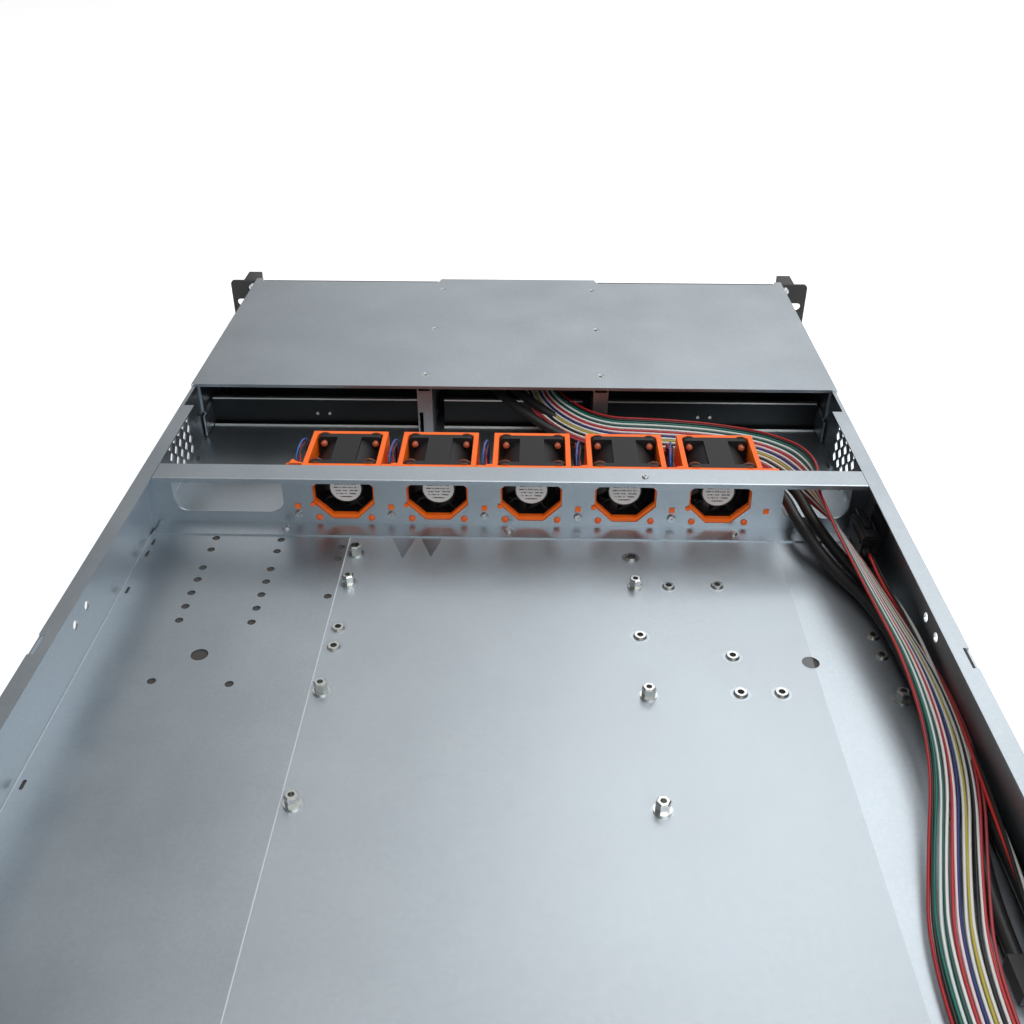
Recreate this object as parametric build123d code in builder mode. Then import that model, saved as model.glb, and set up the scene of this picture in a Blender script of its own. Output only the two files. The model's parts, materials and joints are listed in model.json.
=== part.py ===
from build123d import *
import math
import os

os.makedirs("parts", exist_ok=True)

# An empty 1U rackmount server case with its rear lid off.
# Millimetres, +Z up, the front faces -Y and +X is the right side as seen from the front.
# The origin is under the middle of the whole case, at the height of its underside.

# Overall sizes
CASE_DEPTH = 696.0
HANDLE_REACH = 28.0
RACK_WIDTH = 482.6
EAR_REACH = 23.6
WALL_HEIGHT = 42.4
SHEET = 1.0
COVER_SHEET = 1.2
BEND_RADIUS = 1.5
FIT = 0.3

# Front and rear planes, worked out so that the whole length is centred on the origin
TOTAL_LENGTH = CASE_DEPTH + HANDLE_REACH
FRONT = HANDLE_REACH - TOTAL_LENGTH / 2
REAR = FRONT + CASE_DEPTH
FLOOR_TOP = SHEET
BODY_WIDTH = RACK_WIDTH - 2 * EAR_REACH
WALL_IN = BODY_WIDTH / 2 - SHEET
WALL_OUT = BODY_WIDTH / 2

# Chassis
EAR_PLATE = 2.5
FLANGE_WIDTH = 8.9
NARROW_FLANGE = 2.3
FLANGE_START = 230.5
LID_NOTCH = 14.0
LID_NOTCH_DEPTH = 3.0
LID_NOTCHES = 465.0
VENT_SIDE = 5.0
VENT_ROWS = 4
VENT_COLUMNS = 5
VENT_ROW_PITCH = 7.7
VENT_COLUMN_PITCH = 9.5
VENT_START = 226.7
VENT_LOW_Z = 7.0
WALL_HOLE = 2.6
WALL_HOLES = (417.0, 433.0, 600.0)
WALL_HOLE_Z = 22.0
FLOOR_SLOT_LENGTH = 6.0
FLOOR_SLOT_WIDTH = 1.8
FLOOR_SLOT_EDGE = 3.7
FLOOR_SLOTS = (229.0, 258.0, 329.0, 341.0, 376.5, 520.0, 640.0)
FLOOR_HOLE = 2.25
FLOOR_HOLE_ROWS = {
    176.3: (323.8, 335.8, 354.0, 365.5, 378.0, 390.2, 402.3, 450.8),
    136.7: (324.7, 336.7, 354.6, 366.7, 378.8, 391.0, 403.1, 452.0),
    99.3: (331.3, 343.2, 379.4),
}
CABLE_TIE_HOLE = 4.5
CABLE_TIE_HOLES = ((157.6, 430.2), (-158.6, 429.3))

# Board standoffs and clinch nuts. Their rows are given behind the front, for a room of this length
# behind the fan wall, and their columns from the one nearest the wall.
BOARD_ROOM = 389.0
BOARD_EDGE = 19.28
BOARD_COLUMN_STEP = 162.56
BOARD_SIDE_STEP = 124.46
BOARD_ROW_A = 367.0
BOARD_ROW_STEP = 89.0
BOARD_REAR_ROW = 528.4
BOARD_REAR_STEP = 154.94
FIRST_ROW_GAP = 29.0
STANDOFF_HEIGHT = 6.3
STANDOFF_FLATS = 6.0
STANDOFF_THREAD = 1.5
NUT_RADIUS = 4.2
NUT_HEIGHT = 1.4
NUT_THREAD = 1.75
NUT_PLACES = (
    (-0.6, 407.0), (-0.8, 422.6), (-162.2, 339.0), (-181.6, 366.4), (-209.1, 365.2), (-162.1, 410.4),
    (-208.7, 425.6), (-208.5, 453.4), (-228.9, 452.8), (-285.8, 407.4), (-286.2, 423.3),
)
FILM = 0.25
FILM_WIDTH = 255.6
FILM_EDGE = 6.0
FILM_END = 668.0
FILM_HOLE = 5.2

# Front cover
COVER_REAR = 201.75
COVER_FRONT = 8.5
COVER_TONGUE = 128.0
COVER_TONGUE_FRONT = 1.2
COVER_TAB = 6.0
COVER_FOLD = 14.0
COVER_LIP = 2.1
COVER_SCREW_ROWS = (25.5, 105.0, 184.0)
SCREW_SHANK = 1.4
SCREW_HOLE = 1.6
SCREW_HEAD = 3.0
COVER_SCREW_LENGTH = 5.0

# Bays, dividers and what lies in them
DIVIDER_IN = 55.3
DIVIDER_OUT = 65.5
DIVIDER_END = 197.0
DIVIDER_WEB_TOP = 37.5
DIVIDER_NOTCH = 3.6
DIVIDER_NOTCH_Z = 21.0
DIVIDER_FOOT = 6.0
STOP_PLACE = 177.0
STOP_TOP = 20.8
STOP_LIP = 3.5
STOP_FOOT = 4.7
RAIL_JOG_Z = 17.0
RAIL_JOG = 1.4
RAIL_BOTTOM = 2.0
RAIL_TOP = 40.8
RAIL_END = 194.0
RAIL_LOW_END = 199.0
DRIVE_SLOT_LENGTH = 9.0
DRIVE_SLOT_WIDTH = 3.4
DRIVE_SLOTS = (60.0, 139.0)
DRIVE_SLOT_Z = (12.0, 26.0)
STOP_SCREWS = (131.1, 139.8)
STOP_SCREW_Z = 9.3

# Ears and handles
EAR_TOP = 41.2
EAR_CORNER = 3.0
EAR_LEG = 2.0
EAR_LEG_LENGTH = 22.0
RACK_SLOT_EDGE = 8.75
RACK_HOLE_Z = 21.8
RACK_SLOT_LENGTH = 11.0
RACK_SLOT_WIDTH = 6.8
HANDLE_EDGE = 10.0
HANDLE_WIDTH = 16.3
HANDLE_FRONT_WIDTH = 9.8
HANDLE_BOTTOM = 3.6
HANDLE_TOP = 40.0
HANDLE_BAR = 9.5
HANDLE_LEG = 8.5
HANDLE_SCREW = 2.0

# Front pieces
BLANK_DEPTH = 22.0
BLANK_TOP = 41.2
BLANK_BOTTOM = 1.3
BLANK_WALL = 2.0
BLANK_GROOVE = 1.2
PANEL_SHEET = 2.0
PANEL_HALF = 65.2
PANEL_TOP = 41.9
BOARD_GAP = 9.0
BOARD_THICK = 1.6
BOARD_WIDTH = 100.0
BOARD_HEIGHT = 26.0
BOARD_Z = 20.0
BOSS = 2.6
POWER_X = 38.0
POWER_RADIUS = 4.5
RESET_X = 22.0
RESET_RADIUS = 2.0
BUTTON_Z = 20.0
BUTTON_GAP = 0.4
BUTTON_STAND = 1.6
BUTTON_FLANGE = 1.8
BUTTON_FLANGE_THICK = 1.2
BUTTON_TRAVEL = 1.2
LIGHT_RADIUS = 1.4
LIGHT_PLACES = (-40.0, -32.0, -24.0, -16.0)
PANEL_SLOT_LENGTH = 14.0
PANEL_SLOT_WIDTH = 2.4
PANEL_SLOT_PITCH = 5.0

# Fan wall
FAN_WALL = 307.0
BAR_DEPTH = 15.0
BAR_LIP = 3.2
WALL_FOOT = 13.5
WALL_END_FLANGE = 10.0
OPENING_LOW = 9.6
OPENING_TOP = 37.6
OPENING_CORNER = 8.0
WIDE_OPENING_EDGE = 12.7
WIDE_OPENING_GAP = 8.59
CABLE_OPENING_EDGE = 11.7
CABLE_OPENING_WIDTH = 40.2
FOOT_SCREWS = (135.5, -0.3, -136.4)
WALL_SCREW_Z = 8.5

# Fans and their holders
FAN_COUNT = 5
FAN_PITCH = 56.86
FAN_WALL_GAP = 202.96
FAN_SIDE = 40.0
FAN_DEPTH = 36.4
FAN_Z = 22.0
FAN_BORE = 37.4
FAN_FLANGE = 4.0
FAN_HOLE_PITCH = 32.0
FAN_PIN = 1.7
FAN_WAIST = 39.4
FAN_RIB = 15.0
FAN_HUB = 10.4
FAN_HUB_THICK = 4.5
FAN_HUB_INSET = 4.4
STRUT_COUNT = 4
STRUT_WIDTH = 1.3
STRUT_THICK = 1.6
STRUT_BOW = 3.0
ROTOR_HUB = 10.8
ROTOR_LENGTH = 17.0
ROTOR_GAP = 0.3
BLADE_COUNT = 7
BLADE_TIP = 17.0
BLADE_THICK = 1.1
ROOT_TWIST = 38.0
ROOT_CHORD = 15.5
TIP_TWIST = 51.3
TIP_CHORD = 17.0
HOLDER_WIDTH = 47.0
HOLDER_WALL = 3.0
HOLDER_LENGTH = 43.0
HOLDER_FLOOR = 1.0
HOLDER_CORNER = 0.8
HOLDER_STRIP = 3.0
CUT_OUT_WIDTH = 37.1
CUT_OUT_LOW = 5.2
CUT_OUT_TOP = 38.8
CUT_OUT_CORNER = 11.0
HOLDER_LIP = 0.9
HOLDER_LOW_LIP = 2.6
HOLDER_RING_CORNER = 10.2
HOOK_SIDE = 3.4
HOOK_STAND = 0.6
HOOK_ZS = (14.0, 31.7)
PIN_HEAD = 2.1
PIN_HEAD_THICK = 1.2
PIN_PLAY = 0.1

# Rear panel
SUPPLY_EDGE = 4.7
SUPPLY_GAP = 16.0
SUPPLY_LOW = 2.2
SUPPLY_TOP = 40.4
PORT_EDGE = 2.4
PORT_WIDTH = 158.75
PORT_LOW = 3.6
PORT_TOP = 39.6
CARD_GAP = 17.25
CARD_WIDTH = 112.0
CARD_LOW = 14.0
CARD_TOP = 34.0
REAR_FLANGE = 10.0

# Cables. Each route is a list of points: across, behind the front, and up. Between the straight
# and the turn they swing over to the side wall, and ROUTE_WALL is where the routes have that wall.
ROUTE_WALL = 216.7
ROUTE_STRAIGHT = 30.0
ROUTE_TURN = 120.0
RIBBON_WIDTH = 25.4
RIBBON_THICK = 1.3
CABLE_DIAMETER = 6.6
LEAD_DIAMETER = 3.6
FAN_LEAD_DIAMETER = 2.6
SOCKET_X = -8.0
SOCKET_DEPTH = 9.0
SOCKET_HEIGHT = 8.0
SOCKET_MARGIN = 4.0
CABLE_SOCKET_MARGIN = 2.0
SWITCH_SIDE = 6.0
RIBBON_ROUTE = (
    (-8.0, 21.6, 20.0), (-8.0, 62.0, 20.0), (-11.0, 112.0, 28.0), (-20.0, 162.0, 32.0), (-30.0, 201.0, 29.5),
    (-58.0, 219.0, 24.0), (-98.0, 226.0, 21.5), (-140.0, 235.0, 21.5), (-172.0, 253.0, 22.0),
    (-186.0, 285.0, 24.0), (-188.0, 319.0, 22.0), (-187.5, 357.0, 15.5), (-192.0, 405.0, 11.8),
    (-196.0, 457.0, 11.5), (-192.0, 512.0, 11.0), (-182.0, 562.0, 6.5), (-178.0, 600.0, 4.3),
    (-178.0, 632.0, 4.3),
)
CABLE_1_ROUTE = (
    (34.0, 21.6, 20.0), (34.0, 66.0, 20.0), (31.0, 115.0, 23.5), (20.0, 159.0, 27.5), (-2.0, 195.0, 25.0),
    (-38.0, 218.0, 12.0), (-84.0, 227.0, 6.0), (-128.0, 236.0, 6.5), (-158.0, 256.0, 11.0),
    (-170.0, 287.0, 14.8), (-173.0, 319.0, 13.6), (-186.0, 355.0, 6.5), (-202.0, 389.0, 4.6),
    (-206.0, 437.0, 4.8), (-206.1, 490.0, 4.6), (-205.6, 535.0, 4.7), (-198.5, 573.0, 4.6),
    (-198.5, 600.0, 4.6),
)
CABLE_2_ROUTE = (
    (24.0, 21.6, 20.0), (24.0, 64.0, 20.0), (21.0, 113.0, 23.5), (10.0, 154.0, 27.5), (-12.0, 187.0, 25.5),
    (-46.0, 209.0, 13.0), (-88.0, 218.0, 6.0), (-132.0, 227.0, 6.5), (-165.0, 247.0, 11.0),
    (-179.0, 281.0, 14.8), (-182.0, 317.0, 13.8), (-195.0, 350.0, 6.5), (-209.0, 383.0, 4.6),
    (-213.2, 432.0, 4.8), (-213.2, 485.0, 4.6), (-212.8, 535.0, 4.6), (-212.4, 585.0, 4.7),
    (-211.2, 628.0, 4.6), (-211.2, 660.0, 4.6),
)
LEAD_ROUTE = (
    (-206.5, 353.0, 15.0), (-206.5, 377.0, 15.0), (-211.5, 410.0, 14.2), (-213.5, 455.0, 13.5),
    (-213.2, 505.0, 13.0), (-210.8, 557.0, 12.0), (-206.0, 606.0, 10.4), (-202.5, 640.0, 3.8),
    (-202.5, 665.0, 3.8),
)
FAN_LEAD_ROUTE = (
    (28.4, 298.0, 11.0), (28.4, 298.0, 24.0), (28.6, 290.0, 35.0), (28.2, 276.0, 34.0),
    (28.4, 270.0, 23.0), (27.8, 274.0, 13.0), (24.6, 277.0, 9.0),
)
RIBBON_PLUG = (29.0, 10.0, 6.6)
CABLE_PLUG = (9.0, 17.0, 7.2)
LEAD_PLUG = (8.0, 12.0, 5.2)
FAN_PLUG = (8.0, 8.0, 10.0)
CONNECTOR = (10.0, 38.0, 22.0)
CONNECTOR_STEP = 1.4

wall_front = FRONT + EAR_PLATE
fan_rear = FRONT + FAN_WALL - SHEET
holder_front = fan_rear - HOLDER_LENGTH
fan_front = holder_front + HOLDER_WALL + (HOLDER_LENGTH - 2 * HOLDER_WALL - FAN_DEPTH) / 2
fan_middle = FAN_WALL_GAP - WALL_IN
fan_centres = [fan_middle + FAN_PITCH * (n - (FAN_COUNT - 1) / 2) for n in range(FAN_COUNT)]
hook_places = [centre + FAN_PITCH / 2 for centre in fan_centres] + [fan_centres[0] - FAN_PITCH / 2]
under_flange = WALL_HEIGHT - SHEET
bar_half = WALL_OUT - FLANGE_WIDTH - FIT
stretch = (CASE_DEPTH - FAN_WALL) / BOARD_ROOM


def behind(place):
    """A distance behind the front, stretched with the room behind the fan wall."""
    return place if place <= FAN_WALL else FAN_WALL + (place - FAN_WALL) * stretch


def laid(route):
    """A cable's route as points of the case: it keeps to the side wall and to the rear."""
    points = []
    for x, y, z in route:
        near_wall = min(1.0, max(0.0, (-x - ROUTE_STRAIGHT) / (ROUTE_TURN - ROUTE_STRAIGHT)))
        points.append((x + (ROUTE_WALL - WALL_IN) * near_wall, FRONT + behind(y), z))
    return points


side_column = BOARD_EDGE - WALL_IN
column_a = side_column + BOARD_SIDE_STEP + BOARD_COLUMN_STEP
board_columns = [column_a, column_a - BOARD_COLUMN_STEP]
front_rows = [BOARD_ROW_A, BOARD_ROW_A + BOARD_ROW_STEP]
rear_rows = [BOARD_REAR_ROW, BOARD_REAR_ROW + BOARD_REAR_STEP]
standoff_places = [(x, FRONT + behind(y)) for x in board_columns for y in front_rows + rear_rows]
standoff_places.append((column_a, FRONT + behind(BOARD_ROW_A - FIRST_ROW_GAP)))
standoff_places += [(side_column, FRONT + behind(y)) for y in front_rows[1:] + rear_rows]
nut_places = [(column_a + x, FRONT + behind(y)) for x, y in NUT_PLACES]


# Chassis: the floor, the side walls and their in-turned flanges, folded from one sheet.
# The flange runs narrow under the front cover, and two notches in each take the lid's hooks.
with BuildPart() as chassis:
    with BuildSketch(Plane.XZ.offset(-wall_front)):
        with Locations((0, WALL_HEIGHT / 2)):
            outer = Rectangle(BODY_WIDTH, WALL_HEIGHT)
        fillet(outer.vertices().group_by(Axis.Y)[0], BEND_RADIUS)
        with BuildSketch(mode=Mode.SUBTRACT):
            with Locations((0, (FLOOR_TOP + under_flange) / 2)):
                hollow = Rectangle(2 * WALL_IN, under_flange - FLOOR_TOP)
            fillet(hollow.vertices().group_by(Axis.Y)[0], BEND_RADIUS - SHEET)
        with Locations((0, WALL_HEIGHT)):
            Rectangle(2 * (WALL_OUT - FLANGE_WIDTH), 2 * SHEET, mode=Mode.SUBTRACT)
    extrude(amount=-(REAR - wall_front))
    with BuildSketch(Plane.XY.offset(WALL_HEIGHT)):
        with Locations((0, (FRONT + FRONT + FLANGE_START) / 2)):
            Rectangle(2 * (WALL_OUT - NARROW_FLANGE), FLANGE_START)
        for side in (-1, 1):
            with Locations((side * WALL_OUT, FRONT + behind(LID_NOTCHES) + LID_NOTCH / 2)):
                Rectangle(2 * LID_NOTCH_DEPTH, LID_NOTCH)
    extrude(amount=-SHEET, mode=Mode.SUBTRACT)
    with BuildSketch(Plane.YZ.offset(-WALL_OUT)):
        vent_middle = FRONT + VENT_START + VENT_COLUMN_PITCH * (VENT_COLUMNS - 1) / 2
        with Locations((vent_middle, VENT_LOW_Z + VENT_ROW_PITCH * (VENT_ROWS - 1) / 2)):
            with GridLocations(VENT_COLUMN_PITCH, VENT_ROW_PITCH, VENT_COLUMNS, VENT_ROWS):
                Rectangle(VENT_SIDE, VENT_SIDE, rotation=45)
        with Locations([(FRONT + behind(place), WALL_HOLE_Z) for place in WALL_HOLES]):
            Circle(WALL_HOLE)
    extrude(amount=BODY_WIDTH, mode=Mode.SUBTRACT)
    with BuildSketch():
        for side in (-1, 1):
            slot_x = side * (WALL_IN - FLOOR_SLOT_EDGE)
            with Locations([(slot_x, FRONT + behind(place)) for place in FLOOR_SLOTS]):
                SlotOverall(FLOOR_SLOT_LENGTH, FLOOR_SLOT_WIDTH, rotation=90)
        for column, row in FLOOR_HOLE_ROWS.items():
            with Locations([(column, FRONT + behind(place)) for place in row]):
                Circle(FLOOR_HOLE)
        with Locations([(x, FRONT + behind(y)) for x, y in CABLE_TIE_HOLES]):
            Circle(CABLE_TIE_HOLE)
        with Locations(nut_places):
            Circle(NUT_THREAD)
    extrude(amount=FLOOR_TOP, mode=Mode.SUBTRACT)
chassis.part.label = "chassis"
export_step(chassis.part, "parts/chassis.step")


# Rear panel: its openings take the power supply, the board's ports and one flat card.
port_high = column_a + PORT_EDGE
card_high = port_high - PORT_WIDTH - CARD_GAP
with BuildPart() as rear_panel:
    with BuildSketch(Plane.XZ.offset(-REAR)):
        with Locations((0, (FLOOR_TOP + under_flange) / 2)):
            web = Rectangle(2 * WALL_IN, under_flange - FLOOR_TOP)
        fillet(web.vertices().group_by(Axis.Y)[0], BEND_RADIUS)
        with Locations((0, (FLOOR_TOP + WALL_HEIGHT) / 2)):
            Rectangle(2 * bar_half, WALL_HEIGHT - FLOOR_TOP)
        for low_x, high_x, low, high in (
            (port_high + SUPPLY_GAP, WALL_IN - SUPPLY_EDGE, SUPPLY_LOW, SUPPLY_TOP),
            (port_high - PORT_WIDTH, port_high, PORT_LOW, PORT_TOP),
            (card_high - CARD_WIDTH, card_high, CARD_LOW, CARD_TOP),
        ):
            with Locations(((low_x + high_x) / 2, (low + high) / 2)):
                Rectangle(high_x - low_x, high - low, mode=Mode.SUBTRACT)
    extrude(amount=SHEET)
    for side in (-1, 1):
        with Locations((side * (WALL_IN - SHEET / 2), REAR - REAR_FLANGE / 2, (FLOOR_TOP + under_flange) / 2)):
            Box(SHEET, REAR_FLANGE, under_flange - FLOOR_TOP - 2 * SHEET)
rear_panel.part.label = "rear_panel"
export_step(rear_panel.part, "parts/rear_panel.step")


# Front cover: one flat sheet over the bays, its sides folded down outside the walls.
# A tongue in the middle reaches over the control panel, and a small lip stiffens the rear edge.
cover_top = WALL_HEIGHT + COVER_SHEET
with BuildPart() as front_cover:
    with BuildSketch(Plane.XY.offset(WALL_HEIGHT)):
        with Locations((0, FRONT + (COVER_FRONT + COVER_REAR) / 2)):
            Rectangle(BODY_WIDTH + 2 * COVER_SHEET, COVER_REAR - COVER_FRONT)
        with Locations((0, FRONT + (COVER_TONGUE_FRONT + COVER_REAR) / 2)):
            Rectangle(COVER_TONGUE, COVER_REAR - COVER_TONGUE_FRONT)
        for side in (-1, 1):
            tab_middle = side * (WALL_OUT + COVER_SHEET - COVER_TAB / 2)
            with Locations((tab_middle, (wall_front + FRONT + COVER_REAR) / 2)):
                Rectangle(COVER_TAB, FRONT + COVER_REAR - wall_front)
    extrude(amount=COVER_SHEET)
    for side in (-1, 1):
        with BuildSketch(Plane.XY.offset(cover_top - COVER_FOLD)):
            with Locations((side * (WALL_OUT + COVER_SHEET / 2), (wall_front + FRONT + COVER_REAR) / 2)):
                Rectangle(COVER_SHEET, FRONT + COVER_REAR - wall_front)
        extrude(amount=COVER_FOLD)
    with Locations((0, FRONT + COVER_REAR - COVER_SHEET / 2, cover_top - COVER_LIP / 2)):
        Box(2 * (WALL_OUT - NARROW_FLANGE - FIT), COVER_SHEET, COVER_LIP)
    for side in (-1, 1):
        for row in COVER_SCREW_ROWS:
            with Locations((side * (DIVIDER_IN + DIVIDER_OUT) / 2, FRONT + row, cover_top)):
                CounterSinkHole(SCREW_HOLE, SCREW_HEAD, depth=2 * COVER_SHEET, counter_sink_angle=90)
    outer_folds = front_cover.edges().filter_by(Axis.Y).filter_by_position(Axis.Z, cover_top, cover_top)
    fillet(outer_folds.group_by(Axis.X)[0] + outer_folds.group_by(Axis.X)[-1], COVER_SHEET * 0.8)
front_cover.part.label = "front_cover"
export_step(front_cover.part, "parts/front_cover.step")


# Cover screws: countersunk, through the cover into the top of each divider.
with BuildPart() as cover_screws:
    for side in (-1, 1):
        for row in COVER_SCREW_ROWS:
            with Locations((side * (DIVIDER_IN + DIVIDER_OUT) / 2, FRONT + row, cover_top)):
                Cone(SCREW_SHANK, SCREW_HEAD - 0.1, SCREW_HEAD - 0.1 - SCREW_SHANK,
                     align=(Align.CENTER, Align.CENTER, Align.MAX))
                Cylinder(SCREW_SHANK, COVER_SCREW_LENGTH, align=(Align.CENTER, Align.CENTER, Align.MAX))
                Cylinder(SCREW_HEAD / 3, 0.7, align=(Align.CENTER, Align.CENTER, Align.MAX), mode=Mode.SUBTRACT)
cover_screws.part.label = "cover_screws"
export_step(cover_screws.part, "parts/cover_screws.step")


# Bay dividers: channels folded from sheet, closed on top, between the bays and the middle.
# The web at the rear is cut away in its lower outer corner, and a foot stands on the floor.
for name, side in (("left", -1), ("right", 1)):
    divider_middle = side * (DIVIDER_IN + DIVIDER_OUT) / 2
    divider_width = DIVIDER_OUT - DIVIDER_IN
    divider_front = FRONT + PANEL_SHEET
    divider_length = DIVIDER_END - PANEL_SHEET
    with BuildPart() as bay_divider:
        with BuildSketch(Plane.XZ.offset(-divider_front)):
            with Locations((divider_middle, (FLOOR_TOP + WALL_HEIGHT) / 2)):
                Rectangle(divider_width, WALL_HEIGHT - FLOOR_TOP)
            with Locations((divider_middle, (FLOOR_TOP + WALL_HEIGHT) / 2 - SHEET)):
                Rectangle(divider_width - 2 * SHEET, WALL_HEIGHT - FLOOR_TOP, mode=Mode.SUBTRACT)
            with Locations((side * (DIVIDER_IN - DIVIDER_FOOT / 2), FLOOR_TOP + SHEET / 2)):
                Rectangle(DIVIDER_FOOT, SHEET)
        extrude(amount=-divider_length)
        with BuildSketch(Plane.XZ.offset(-(FRONT + DIVIDER_END))):
            with Locations((divider_middle, (FLOOR_TOP + DIVIDER_WEB_TOP) / 2)):
                Rectangle(divider_width, DIVIDER_WEB_TOP - FLOOR_TOP)
            with Locations((side * (DIVIDER_OUT - DIVIDER_NOTCH / 2), DIVIDER_NOTCH_Z / 2)):
                Rectangle(DIVIDER_NOTCH, DIVIDER_NOTCH_Z, mode=Mode.SUBTRACT)
        extrude(amount=SHEET)
        with BuildSketch(Plane.YZ.offset(side * DIVIDER_OUT)):
            with Locations([(FRONT + y, z) for y in DRIVE_SLOTS for z in DRIVE_SLOT_Z]):
                SlotOverall(DRIVE_SLOT_LENGTH, DRIVE_SLOT_WIDTH)
        extrude(amount=-side * divider_width / 2, mode=Mode.SUBTRACT)
        for row in COVER_SCREW_ROWS:
            with Locations((divider_middle, FRONT + row, WALL_HEIGHT)):
                Hole(SCREW_HOLE + FIT, depth=2 * SHEET)
    bay_divider.part.label = "bay_divider_" + name
    export_step(bay_divider.part, "parts/bay_divider_" + name + ".step")


# Cross members: low stops folded to a Z, one behind each bay and one behind the middle.
middle_end = DIVIDER_IN - DIVIDER_FOOT - FIT
bay_low = DIVIDER_OUT + FIT
bay_high = WALL_IN - SHEET - RAIL_JOG - FIT
for name, low_x, high_x in (
    ("left", -bay_high, -bay_low),
    ("centre", -middle_end, middle_end),
    ("right", bay_low, bay_high),
):
    with BuildPart() as cross_member:
        with BuildSketch(Plane.YZ.offset(low_x)):
            with Locations((FRONT + STOP_PLACE - SHEET / 2, (FLOOR_TOP + STOP_TOP) / 2)):
                Rectangle(SHEET, STOP_TOP - FLOOR_TOP)
            with Locations((FRONT + STOP_PLACE - STOP_LIP / 2, STOP_TOP - SHEET / 2)):
                Rectangle(STOP_LIP, SHEET)
            with Locations((FRONT + STOP_PLACE + STOP_FOOT / 2 - SHEET, FLOOR_TOP + SHEET / 2)):
                Rectangle(STOP_FOOT + SHEET, SHEET)
        extrude(amount=high_x - low_x)
    cross_member.part.label = "cross_member_" + name
    export_step(cross_member.part, "parts/cross_member_" + name + ".step")


# Side rails: sheet brackets on the walls, joggled inwards below, with slots for a drive's screws.
for name, side in (("left", -1), ("right", 1)):
    rail_front = FRONT + EAR_LEG_LENGTH + FIT
    with BuildPart() as side_rail:
        with BuildSketch(Plane.XZ.offset(-rail_front)):
            with BuildLine():
                Polyline(
                    (side * WALL_IN, RAIL_TOP),
                    (side * (WALL_IN - SHEET), RAIL_TOP),
                    (side * (WALL_IN - SHEET), RAIL_JOG_Z + RAIL_JOG),
                    (side * (WALL_IN - SHEET - RAIL_JOG), RAIL_JOG_Z),
                    (side * (WALL_IN - SHEET - RAIL_JOG), RAIL_BOTTOM),
                    (side * (WALL_IN - RAIL_JOG), RAIL_BOTTOM),
                    (side * (WALL_IN - RAIL_JOG), RAIL_JOG_Z),
                    (side * WALL_IN, RAIL_JOG_Z + RAIL_JOG),
                    close=True,
                )
            make_face()
        extrude(amount=-(RAIL_LOW_END - EAR_LEG_LENGTH - FIT))
        with Locations((side * WALL_IN, FRONT + (RAIL_END + RAIL_LOW_END) / 2, (RAIL_JOG_Z + WALL_HEIGHT) / 2)):
            Box(2 * (SHEET + RAIL_JOG), RAIL_LOW_END - RAIL_END, WALL_HEIGHT - RAIL_JOG_Z, mode=Mode.SUBTRACT)
        with BuildSketch(Plane.YZ.offset(side * (WALL_IN - 2 * SHEET - RAIL_JOG))):
            with Locations([(FRONT + y, z) for y in DRIVE_SLOTS for z in DRIVE_SLOT_Z]):
                SlotOverall(DRIVE_SLOT_LENGTH, DRIVE_SLOT_WIDTH)
        extrude(amount=side * (2 * SHEET + RAIL_JOG), mode=Mode.SUBTRACT)
    side_rail.part.label = "side_rail_" + name
    export_step(side_rail.part, "parts/side_rail_" + name + ".step")


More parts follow.
